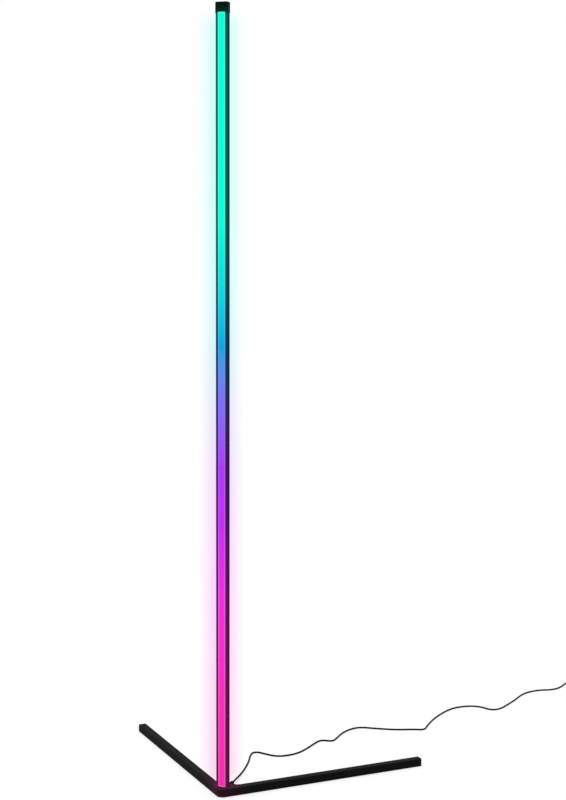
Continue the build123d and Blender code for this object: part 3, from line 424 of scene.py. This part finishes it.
def strip_paleness(tree, spot):
    """How far the strip's colour goes towards pale: at its long edges, at its foot and under the cap."""
    aside = add(tree, "ShaderNodeMath", {0: spot["X"]}, operation="ABSOLUTE").outputs[0]
    rims = add(tree, "ShaderNodeMapRange", {
        "Value": aside, "From Min": EDGE_START, "From Max": EDGE_FULL, "To Max": EDGE_PALE,
    }).outputs["Result"]
    gain = gain_below(tree, spot["Z"], EDGE_PALE_GAIN)
    edges = add(tree, "ShaderNodeMath", {0: rims, 1: gain}, operation="MULTIPLY").outputs[0]
    foot = add(tree, "ShaderNodeMapRange", {
        "Value": spot["Z"], "From Min": STRIP_LOW, "From Max": STRIP_LOW + END_RIM,
        "To Min": END_PALE, "To Max": 0.0,
    }).outputs["Result"]
    head = add(tree, "ShaderNodeMapRange", {
        "Value": spot["Z"], "From Min": CAP_NOTCH - END_RIM, "From Max": CAP_NOTCH, "To Max": END_PALE,
    }).outputs["Result"]
    ends = add(tree, "ShaderNodeMath", {0: foot, 1: head}, operation="MAXIMUM").outputs[0]
    return add(tree, "ShaderNodeMath", {0: edges, 1: ends}, operation="MAXIMUM").outputs[0]


def opal_strip():
    """Glowing opal plastic that follows the strip's run of colours."""
    material, tree, shader = new_finish("opal_strip_lit")
    place = add(tree, "ShaderNodeTexCoord").outputs["Object"]
    colour, spot = strip_colour(tree, place)
    pale = strip_paleness(tree, spot)
    glow = add(tree, "ShaderNodeMix", {0: pale, 6: colour, 7: PALE}, data_type="RGBA").outputs[2]
    # the strip's glow painted into the body's colour
    body = add(tree, "ShaderNodeMix", {0: BODY_PAINTED_GLOW_SHARE, 6: BLACK, 7: glow}, data_type="RGBA").outputs[2]
    let_glow(tree, glow, STRIP_GLOW)
    tree.links.new(body, shader.inputs["Base Color"])
    shader.inputs["Roughness"].default_value = OPAL_ROUGHNESS
    shader.inputs["Specular IOR Level"].default_value = OPAL_SHEEN
    return material


FINISHES["opal_diffuser"] = opal_strip()
print("opal strip ready")

# %% [markdown]
# The channel is black anodised aluminium. The die leaves fine lines along it, and the anodised skin is
# satin and nearly without a highlight, so the noise is stretched along the column and the sheen is low.
# The lips on either side of the strip, and less so the sides, get its light as a glow painted into the
# finish.

# %% Black anodised channel
TONE_PATCH_MM = 40
DIE_LINE_MM = 0.7
DIE_LINE_DEPTH_MM = 0.01
DIE_LINE_STRETCH = 0.01
ANODISED_ROUGHNESS = (0.36, 0.46)
ANODISED_SHEEN = 0.001
# share of the strip's light painted on as a glow, from the lips to the back
SPILL_BY_DEPTH = [(0.0, 0.12), (0.02, 0.12), (0.05, 0.085), (0.96, 0.035), (1.0, 0.0)]
SPILL_GAIN = 1.4
CHANNEL_FRONT, CHANNEL_BACK = (corner.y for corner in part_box("lower_channel"))


def anodised_channel():
    """Black anodising with die lines, and the strip's light painted on as a glow fading from the lips to
    the back.
    """
    material = grained_finish(
        "black_anodised_extrusion", "#050506", "#0b0b0d", TONE_PATCH_MM, DIE_LINE_MM, DIE_LINE_DEPTH_MM,
        ANODISED_ROUGHNESS, ANODISED_SHEEN,
    )
    tree = material.node_tree
    place = tree.nodes["Texture Coordinate"].outputs["Object"]
    stretched = add(
        tree, "ShaderNodeMapping", {"Vector": place, "Scale": (1, 1, DIE_LINE_STRETCH)}
    ).outputs["Vector"]
    for noise in [n for n in tree.nodes if n.type == "TEX_NOISE"]:
        tree.links.new(stretched, noise.inputs["Vector"])
    colour, spot = strip_colour(tree, place)
    depth = add(tree, "ShaderNodeMapRange", {
        "Value": spot["Y"], "From Min": CHANNEL_FRONT, "From Max": CHANNEL_BACK,
    }).outputs["Result"]
    spill = add(tree, "ShaderNodeValToRGB", {"Fac": depth})
    greys = [(at, (grey, grey, grey, 1)) for at, grey in SPILL_BY_DEPTH]
    set_stops(spill.color_ramp.elements, greys)
    gain = gain_below(tree, spot["Z"], SPILL_GAIN)
    share = add(
        tree, "ShaderNodeMath", {0: spill.outputs["Color"], 1: gain}, operation="MULTIPLY"
    ).outputs[0]
    # the strip's light, painted on the channel as a glow
    glow = add(tree, "ShaderNodeMix", {0: share, 6: BLACK, 7: colour}, data_type="RGBA").outputs[2]
    let_glow(tree, glow)
    return material


FINISHES["anodised_black"] = anodised_channel()
print("channel ready")

# %% [markdown]
# Round the foot of the column, the base and the gasket pick up the magenta of the strip. A lamp there
# could give that, but a faint glow in the finish keeps to these pieces: it falls off with the distance
# from the foot, and is stronger on top faces than on sides.

# %% Light of the strip on the base
SPILL_FOOT_TOP = 0.085
SPILL_FOOT_SIDE = 0.024
SPILL_FOOT_CENTRE = Vector((-8 * MM, 0, 0))
SPILL_FOOT_FROM = 12 * MM
SPILL_FOOT_TO = 68 * MM
BASE_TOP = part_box("right_leg")[1].z
SIDE_ENDS = BASE_TOP - 1.2 * MM
TOP_STARTS = BASE_TOP - 0.2 * MM


def light_the_foot(material):
    """Magenta light from the end of the strip, on what lies round the foot of the column."""
    tree = material.node_tree
    place = tree.nodes["Texture Coordinate"].outputs["Object"]
    away = add(
        tree, "ShaderNodeVectorMath", {0: place, 1: SPILL_FOOT_CENTRE}, operation="DISTANCE"
    ).outputs["Value"]
    height = add(tree, "ShaderNodeSeparateXYZ", {"Vector": place}).outputs["Z"]
    near = add(tree, "ShaderNodeMapRange", {
        "Value": away, "From Min": SPILL_FOOT_FROM, "From Max": SPILL_FOOT_TO,
        "To Min": 1.0, "To Max": 0.0,
    }).outputs["Result"]
    nearer = add(tree, "ShaderNodeMath", {0: near, 1: near}, operation="MULTIPLY").outputs[0]
    facing = add(tree, "ShaderNodeMapRange", {
        "Value": height, "From Min": SIDE_ENDS, "From Max": TOP_STARTS,
        "To Min": SPILL_FOOT_SIDE, "To Max": SPILL_FOOT_TOP,
    }).outputs["Result"]
    share = add(tree, "ShaderNodeMath", {0: nearer, 1: facing}, operation="MULTIPLY").outputs[0]
    glow = add(tree, "ShaderNodeMix", {0: share, 6: BLACK, 7: FOOT_COLOUR}, data_type="RGBA").outputs[2]
    let_glow(tree, glow)


print("light on the base reaches", round(SPILL_FOOT_TO / MM), "mm")

# %% [markdown]
# The bars and the casting are steel and zinc under one black powder coat. Baked powder flows out to a
# satin skin with the ripple of orange peel, about a millimetre from crest to crest. It scatters most of
# its light, so it looks dark grey where it faces up and nearly black on its sides.

# %% Black powder coat
COAT_PATCH_MM = 4
ORANGE_PEEL_MM = 1.0
ORANGE_PEEL_DEPTH_MM = 0.03
COAT_ROUGHNESS = (0.5, 0.62)
COAT_SHEEN = 0.011

FINISHES["powder_coat"] = grained_finish(
    "black_powder_coat", "#131313", "#242424", COAT_PATCH_MM, ORANGE_PEEL_MM, ORANGE_PEEL_DEPTH_MM,
    COAT_ROUGHNESS, COAT_SHEEN,
)
light_the_foot(FINISHES["powder_coat"])
print("powder coat ready")

# %% [markdown]
# The cap and the bar ends are black ABS from moulds with a spark-eroded texture, which gives a dull,
# even black. The rim of the cap just above the strip gets the strip's turquoise light as a glow painted
# into the finish.

# %% Moulded black plastic
ABS_PATCH_MM = 9
SPARK_GRAIN_MM = 0.35
SPARK_DEPTH_MM = 0.015
ABS_ROUGHNESS = (0.48, 0.6)
ABS_SHEEN = 0.015
# the strip's light painted on the cap as a glow: share at the rim, share higher up, and how far up
SPILL_CAP = 0.035
SPILL_CAP_HIGH = 0.01
SPILL_CAP_REACH = 9 * MM


def moulded_plastic():
    """Dull black ABS, with the strip's turquoise light painted as a glow rising over the cap."""
    material = grained_finish(
        "black_abs_spark_textured", "#080808", "#101010", ABS_PATCH_MM, SPARK_GRAIN_MM, SPARK_DEPTH_MM,
        ABS_ROUGHNESS, ABS_SHEEN,
    )
    tree = material.node_tree
    place = tree.nodes["Texture Coordinate"].outputs["Object"]
    height = add(tree, "ShaderNodeSeparateXYZ", {"Vector": place}).outputs["Z"]
    on_cap = add(
        tree, "ShaderNodeMath", {0: height, 1: CAP_LOW - MM}, operation="GREATER_THAN"
    ).outputs[0]
    upward = add(tree, "ShaderNodeMapRange", {
        "Value": height, "From Min": CAP_LOW, "From Max": CAP_LOW + SPILL_CAP_REACH,
        "To Min": SPILL_CAP, "To Max": SPILL_CAP_HIGH,
    }).outputs["Result"]
    share = add(tree, "ShaderNodeMath", {0: upward, 1: on_cap}, operation="MULTIPLY").outputs[0]
    # painted glow of the strip's light on the cap
    glow = add(tree, "ShaderNodeMix", {0: share, 6: BLACK, 7: HEAD_COLOUR}, data_type="RGBA").outputs[2]
    let_glow(tree, glow)
    return material


FINISHES["black_plastic"] = moulded_plastic()
print("moulded plastic ready")

# %% [markdown]
# The other finishes differ only in their numbers, so a row each is enough: name, darker and lighter
# colour, width of the patches, width of the grain and its depth in millimetres, and the range of
# roughness.

# %% Plain finishes
PLAIN_FINISHES = {
    # moulded shells, satin from being handled
    "controller_plastic": ("black_abs_satin", "#0b0b0c", "#131314", 9, 0.35, 0.015, (0.42, 0.52)),
    # soft plastic moulded round the cord, a little waxy
    "plug_moulding": ("black_pvc_moulded", "#090909", "#111111", 7, 0.5, 0.012, (0.5, 0.6)),
    # moulded dark grey, even and matt
    "button_plastic": ("grey_abs_moulded", "#3a3b3d", "#434447", 5, 0.3, 0.01, (0.42, 0.5)),
    # pressed rubber, dull all over
    "black_rubber": ("black_rubber", "#0f0f0f", "#1a1a19", 6, 0.5, 0.03, (0.75, 0.88)),
    # soft plastic drawn round the wires, deep black with a faint line of light
    "cord_jacket": ("black_pvc_jacket", "#040404", "#0a0a0a", 14, 0.6, 0.01, (0.42, 0.55)),
    # plated steel, grey metal with wide soft spangles
    "zinc_steel": ("zinc_plated_steel", "#a9adb3", "#c3c6c9", 7, 0.8, 0.006, (0.28, 0.42)),
    # blackened steel, a dark metal with a dim glint
    "black_screw": ("black_oxide_steel", "#151517", "#232326", 3, 0.4, 0.006, (0.35, 0.5)),
    # printed solder mask, an even white with some gloss
    "white_board": ("white_solder_mask", "#e6e6e0", "#f0f0ec", 8, 0.6, 0.008, (0.4, 0.5)),
    # moulded package under clear resin, warm white and glossy
    "led_package": ("white_led_package", "#ece7d8", "#f4f0e4", 2, 0.3, 0.004, (0.25, 0.35)),
    # fired ceramic, tan with half a gloss
    "ceramic_tan": ("tan_ceramic", "#9c7a52", "#b08d63", 1, 0.2, 0.004, (0.35, 0.45)),
    # coloured wire sleeve, plain red
    "wire_sleeve": ("red_wire_sleeve", "#a81616", "#b92020", 5, 0.4, 0.006, (0.4, 0.5)),
    # printed solder mask over copper, deep green and glossy
    "green_board": ("green_solder_mask", "#0d4a26", "#156033", 4, 0.5, 0.01, (0.25, 0.4)),
    # moulded dark grey with a fine matt grain
    "switch_body": ("black_switch_plastic", "#161616", "#222222", 3, 0.3, 0.006, (0.4, 0.55)),
    # drawn metal, pale with blurred reflections
    "can_metal": ("aluminium_can", "#c4c5c8", "#d2d3d5", 2, 0.4, 0.004, (0.25, 0.35)),
    # bright plating on pressed steel, slightly warm
    "plug_steel": ("nickel_plated_steel", "#c0bdb8", "#c8c5c0", 3, 0.5, 0.002, (0.22, 0.27)),
    # moulded nylon, milky white
    "white_insulator": ("white_nylon", "#e4e4de", "#efefea", 4, 0.4, 0.006, (0.45, 0.55)),
    # thin plating, a clear yellow metal
    "gold_contact": ("gold_plated_contact", "#d2a54a", "#dcb45e", 2, 0.3, 0.002, (0.2, 0.3)),
    # thin ink from a soft pad, pale grey and matt
    "ink": ("pale_grey_ink", "#c9cbcc", "#d6d7d8", 3, 0.2, 0.002, (0.5, 0.6)),
}
METALS = ("zinc_steel", "black_screw", "can_metal", "plug_steel", "gold_contact")
SHEENS = {"cord_jacket": 0.03, "black_rubber": 0.15, "controller_plastic": 0.12, "plug_moulding": 0.12}

for finish, numbers in PLAIN_FINISHES.items():
    FINISHES[finish] = grained_finish(*numbers, sheen=SHEENS.get(finish))
    if finish in METALS:
        FINISHES[finish].node_tree.nodes["Principled BSDF"].inputs["Metallic"].default_value = 1.0
light_the_foot(FINISHES["black_rubber"])
print("finishes:", len(FINISHES))

# %% [markdown]
# Each solid already says which finish it takes, so a loop over the list of pieces is enough to dress
# them. Only the shells of the controller and the moulded pieces on the cord have a little more sheen
# than their kind.

# %% Dress the solids and the cords
OWN_FINISH = {
    "controller_lower_shell": "controller_plastic",
    "controller_upper_shell": "controller_plastic",
    "controller_inlet_boot": "plug_moulding",
    "controller_outlet_boot": "plug_moulding",
    "usb_plug_body": "plug_moulding",
    "cord_tie": "plug_moulding",
}
for piece in frame["record"]["subparts"]:
    solid = frame["nodes"][piece["node"]]
    solid.data.materials.clear()
    solid.data.materials.append(FINISHES[OWN_FINISH.get(piece["node"], piece["material_slot"])])
for flex in (lamp_flex, plug_flex):
    flex.data.materials.append(FINISHES["cord_jacket"])

# %% [markdown]
# The buttons carry small marks, pad printed in pale grey ink. They could be painted into the finish,
# but ink is a layer of its own, and a thin solid keeps a sharp edge. Each stands a twentieth of a
# millimetre proud of the button and is sunk as far into it. Bars are cubes, dots are short cylinders,
# and the open ring is a spin.

# %% Shapes of ink
INK_PROUD = 0.05 * MM
INK_SINK = 0.05 * MM
INK_THICKNESS = INK_PROUD + INK_SINK
INK_MIDDLE = (INK_PROUD - INK_SINK) / 2
MARK_RADIUS = 1.7 * MM
LINE_WIDTH = 0.45 * MM
DOT_RADIUS = 0.5 * MM
DOT_SIDES = 24
RING_GAP = math.radians(70)
RING_STEPS = 40


def ink_bar(mesh, x, y, width, length):
    """A flat bar about a point."""
    size = Matrix.Diagonal((width, length, INK_THICKNESS, 1.0))
    bmesh.ops.create_cube(mesh, size=1.0, matrix=Matrix.Translation((x, y, INK_MIDDLE)) @ size)


def ink_dot(mesh, x, y):
    """A flat round dot about a point."""
    bmesh.ops.create_cone(
        mesh, cap_ends=True, segments=DOT_SIDES, radius1=DOT_RADIUS, radius2=DOT_RADIUS,
        depth=INK_THICKNESS, matrix=Matrix.Translation((x, y, INK_MIDDLE)),
    )


def ink_ring(mesh):
    """An open ring: a small upright rectangle, spun round the middle but for a gap at the top."""
    start = Matrix.Rotation(math.pi / 2 + RING_GAP / 2, 3, "Z")
    section = [
        mesh.verts.new(start @ Vector((MARK_RADIUS + side * LINE_WIDTH / 2, 0, height)))
        for side, height in ((-1, -INK_SINK), (1, -INK_SINK), (1, INK_PROUD), (-1, INK_PROUD))
    ]
    first = mesh.faces.new(section)
    bmesh.ops.spin(
        mesh, geom=[first, *first.edges, *first.verts], axis=(0, 0, 1), cent=(0, 0, 0),
        angle=2 * math.pi - RING_GAP, steps=RING_STEPS, use_duplicate=False,
    )
    bmesh.ops.recalc_face_normals(mesh, faces=mesh.faces)


print("ink is", round(INK_THICKNESS / MM, 2), "mm thick")

# %% [markdown]
# Power is a ring with a bar, colour is three dots and mode is three bars. A mark is drawn about the
# origin, moved to the middle of its button's top and then rides on the button, so that it sinks with
# it.

# %% Marks on the buttons
POWER_BAR_MIDDLE = 0.7 * MARK_RADIUS
POWER_BAR_LENGTH = 1.1 * MARK_RADIUS
DOTS_OUT = 0.62 * MARK_RADIUS
BAR_SPACING = 0.62 * MARK_RADIUS
BAR_LENGTHS = [2.0 * MARK_RADIUS, 1.2 * MARK_RADIUS, 1.6 * MARK_RADIUS]


def power_mark(mesh):
    """An open ring with a bar in its gap."""
    ink_ring(mesh)
    ink_bar(mesh, 0, POWER_BAR_MIDDLE, LINE_WIDTH, POWER_BAR_LENGTH)


def colour_mark(mesh):
    """Three dots in a triangle."""
    for i in range(3):
        angle = math.pi / 2 + i * 2 * math.pi / 3
        ink_dot(mesh, DOTS_OUT * math.cos(angle), DOTS_OUT * math.sin(angle))


def mode_mark(mesh):
    """Three upright bars of different lengths."""
    for i, length in enumerate(BAR_LENGTHS):
        ink_bar(mesh, (i - 1) * BAR_SPACING, 0, LINE_WIDTH, length)


def print_mark(button, draw):
    """Draws a mark about the middle of the button's top and lets it ride on the button."""
    low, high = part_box(button)
    mesh = bmesh.new()
    draw(mesh)
    bmesh.ops.translate(mesh, verts=mesh.verts, vec=((low.x + high.x) / 2, (low.y + high.y) / 2, high.z))
    data = bpy.data.meshes.new(button + "_mark")
    mesh.to_mesh(data)
    mesh.free()
    mark = bpy.data.objects.new(button + "_mark", data)
    bpy.context.collection.objects.link(mark)
    data.materials.append(FINISHES["ink"])
    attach(mark, button)
    return mark


MARKS = [
    print_mark("power_button", power_mark),
    print_mark("colour_button", colour_mark),
    print_mark("mode_button", mode_mark),
]
print("marks:", [mark.name for mark in MARKS])

# %% [markdown]
# The first cord goes from the strain relief to the controller, the second from the controller through
# the coil to the plug. The pieces on the first are listed by their names.

ON_LAMP_CORD = ["cord_strain_relief", "power_button", "colour_button", "mode_button"]
ON_LAMP_CORD += [name for name in frame["nodes"] if name.startswith("controller_")]
ON_LAMP_CORD += [mark.name for mark in MARKS]

# %% [markdown]
# The stage is a white floor that runs out of sight under a white sky. For the eye, and for what shines,
# both are plain white. Only the light that the sky gives to the lamp is lower, so that black stays
# black.

# %% Sky
SKY_LIGHT = 0.3


def seen_directly(tree):
    """One for what the camera, a reflection or glass shows, and nothing where light is counted."""
    ray = add(tree, "ShaderNodeLightPath").outputs
    seen = add(
        tree, "ShaderNodeMath", {0: ray["Is Camera Ray"], 1: ray["Is Glossy Ray"]}, operation="MAXIMUM"
    ).outputs[0]
    return add(
        tree, "ShaderNodeMath", {0: seen, 1: ray["Is Transmission Ray"]}, operation="MAXIMUM"
    ).outputs[0]


world = bpy.data.worlds.new("white_sky")
world.use_nodes = True
bpy.context.scene.world = world
sky = world.node_tree
strength = add(
    sky, "ShaderNodeMapRange", {"Value": seen_directly(sky), "To Min": SKY_LIGHT, "To Max": 1.0}
).outputs["Result"]
sky.nodes["Background"].inputs["Color"].default_value = WHITE
sky.links.new(strength, sky.nodes["Background"].inputs["Strength"])
print("sky gives", SKY_LIGHT, "of what it shows")

# %% [markdown]
# The floor is a matt mid grey, and what the eye sees of it is lifted to the white of the sky. So no
# line shows where they meet, the lamp gets little light from below, and its shadow still lies on the
# floor.

# %% Floor
FLOOR_LIFT = 0.65
FLOOR_HALF = 40.0
FLOOR_GREY = linear("#a1a1a1")
FLOOR_ROUGHNESS = 0.9

white_floor, floor_tree, floor_shader = new_finish("white_floor")
floor_shader.inputs["Base Color"].default_value = FLOOR_GREY
floor_shader.inputs["Roughness"].default_value = FLOOR_ROUGHNESS
floor_shader.inputs["Specular IOR Level"].default_value = 0.0
floor_shader.inputs["Emission Color"].default_value = WHITE
lift = add(
    floor_tree, "ShaderNodeMath", {0: seen_directly(floor_tree), 1: FLOOR_LIFT}, operation="MULTIPLY"
).outputs[0]
floor_tree.links.new(lift, floor_shader.inputs["Emission Strength"])

sheet = bmesh.new()
bmesh.ops.create_grid(sheet, x_segments=1, y_segments=1, size=FLOOR_HALF)
floor_mesh = bpy.data.meshes.new("floor")
sheet.to_mesh(floor_mesh)
sheet.free()
floor_mesh.materials.append(white_floor)
floor = bpy.data.objects.new("floor", floor_mesh)
bpy.context.collection.objects.link(floor)
print("floor", 2 * FLOOR_HALF, "m wide")

# %% [markdown]
# Beside the column, the white behind it takes the strip's colour as a halo of its light, strongest next
# to the channel and gone just under five centimetres away. That halo could be given by many small lamps.
# Here it is painted instead, on clear sheets that stand in the column: each tints what is seen through
# it, throws no shadow and casts no light. The painted halo has its own run of colours, because it is
# purer than the strip: only the light that the strip lacks is taken out of the white.

# %% Finish of the painted halo
# painted halo of the strip's light round the column: strongest share, reach, colours and ends
PAINTED_HALO = 0.43
PAINTED_HALO_REACH = 47 * MM
PAINTED_HALO_COLOURS = [
    (0.10, "#f858d4"),  # pink
    (0.36, "#f742f4"),  # magenta
    (0.60, "#d078f8"),  # lilac
    (0.72, "#a2b4f2"),  # pale blue
    (0.80, "#58d4f0"),  # sky blue
    (0.98, "#2dfdf0"),  # turquoise
]
PAINTED_HALO_FOOT = (12 * MM, 40 * MM)
PAINTED_HALO_HEAD = (1.36, 1.39)
PAINTED_HALO_MIDDLE = Vector((0, CHANNEL_FRONT, 0))


def clear_painted_halo(name, along):
    """Clear, but coloured near the strip with a painted halo of its light; the distance from the strip
    is counted along one direction.
    """
    material, tree, shader = new_finish(name)
    tree.nodes.remove(shader)
    place = add(tree, "ShaderNodeTexCoord").outputs["Object"]
    colour, spot = strip_colour(tree, place, PAINTED_HALO_COLOURS)
    from_middle = add(
        tree, "ShaderNodeVectorMath", {0: place, 1: PAINTED_HALO_MIDDLE}, operation="SUBTRACT"
    ).outputs["Vector"]
    aside = add(
        tree, "ShaderNodeVectorMath", {0: from_middle, 1: along}, operation="DOT_PRODUCT"
    ).outputs["Value"]
    away = add(tree, "ShaderNodeMath", {0: aside}, operation="ABSOLUTE").outputs[0]
    near = add(tree, "ShaderNodeMapRange", {
        "Value": away, "From Min": 0.0, "From Max": PAINTED_HALO_REACH, "To Min": PAINTED_HALO, "To Max": 0.0,
    }, interpolation_type="SMOOTHSTEP").outputs["Result"]
    foot = add(tree, "ShaderNodeMapRange", {
        "Value": spot["Z"], "From Min": PAINTED_HALO_FOOT[0], "From Max": PAINTED_HALO_FOOT[1],
    }).outputs["Result"]
    head = add(tree, "ShaderNodeMapRange", {
        "Value": spot["Z"], "From Min": PAINTED_HALO_HEAD[0], "From Max": PAINTED_HALO_HEAD[1],
        "To Min": 1.0, "To Max": 0.0,
    }).outputs["Result"]
    ends = add(tree, "ShaderNodeMath", {0: foot, 1: head}, operation="MULTIPLY").outputs[0]
    share = add(tree, "ShaderNodeMath", {0: near, 1: ends}, operation="MULTIPLY").outputs[0]
    # painted halo: the strip's colour mixed into the white seen through the sheet
    seen = add(tree, "ShaderNodeMix", {0: share, 6: WHITE, 7: colour}, data_type="RGBA").outputs[2]
    clear = add(tree, "ShaderNodeBsdfTransparent", {"Color": seen}).outputs["BSDF"]
    tree.links.new(clear, tree.nodes["Material Output"].inputs["Surface"])
    return material


print("tint reaches", round(PAINTED_HALO_REACH / MM), "mm in", len(PAINTED_HALO_COLOURS), "colours")

# %% [markdown]
# One sheet stands across the view of the camera. A second crosses it at a right angle, so that the
# painted halo is there from the sides as well.

# %% Painted halo round the column
SHEET_TURN = math.atan2(CAMERA_EYE.x, -CAMERA_EYE.y)


def painted_halo_sheet(name, turn):
    """A clear sheet through the column that carries the painted halo, turned about its axis."""
    along = Vector((math.cos(turn), math.sin(turn), 0))
    middle = along * along.dot(PAINTED_HALO_MIDDLE)
    near_side = middle - along * PAINTED_HALO_REACH
    far_side = middle + along * PAINTED_HALO_REACH
    low, high = PAINTED_HALO_FOOT[0], PAINTED_HALO_HEAD[1]
    outline = [(near_side, low), (far_side, low), (far_side, high), (near_side, high)]
    sheet = bmesh.new()
    sheet.faces.new([sheet.verts.new((corner.x, corner.y, z)) for corner, z in outline])
    mesh = bpy.data.meshes.new(name)
    sheet.to_mesh(mesh)
    sheet.free()
    mesh.materials.append(clear_painted_halo(name, along))
    card = bpy.data.objects.new(name, mesh)
    bpy.context.collection.objects.link(card)
    card.visible_diffuse = False
    card.visible_glossy = False
    card.visible_transmission = False
    card.visible_shadow = False
    return card


# two clear sheets carry the painted halo
PAINTED_HALO_SHEETS = [painted_halo_sheet("painted_halo_across", SHEET_TURN), painted_halo_sheet("painted_halo_along", SHEET_TURN + math.pi / 2)]
print("tint sheets:", [card.name for card in PAINTED_HALO_SHEETS])

# %% [markdown]
# One wide light, almost straight overhead and a little to the front left, gives the bars a lighter top
# and darker sides, the right one most, as in a white studio. An area lamp would leave the far floor
# darker, so it is a sun with a very wide disc: even over the whole floor, and with soft shadows.

# %% Overhead light
OVERHEAD_FROM = Vector((-0.08, -0.1, 1.0))
OVERHEAD_DISC = math.radians(75)
OVERHEAD_STRENGTH = 2.3

overhead_data = bpy.data.lights.new("overhead", "SUN")
overhead_data.angle = OVERHEAD_DISC
overhead_data.energy = OVERHEAD_STRENGTH
overhead = bpy.data.objects.new("overhead", overhead_data)
bpy.context.collection.objects.link(overhead)
overhead.rotation_euler = OVERHEAD_FROM.to_track_quat("Z", "Y").to_euler()
bpy.context.scene.view_settings.view_transform = "Standard"
print("overhead light", OVERHEAD_STRENGTH)
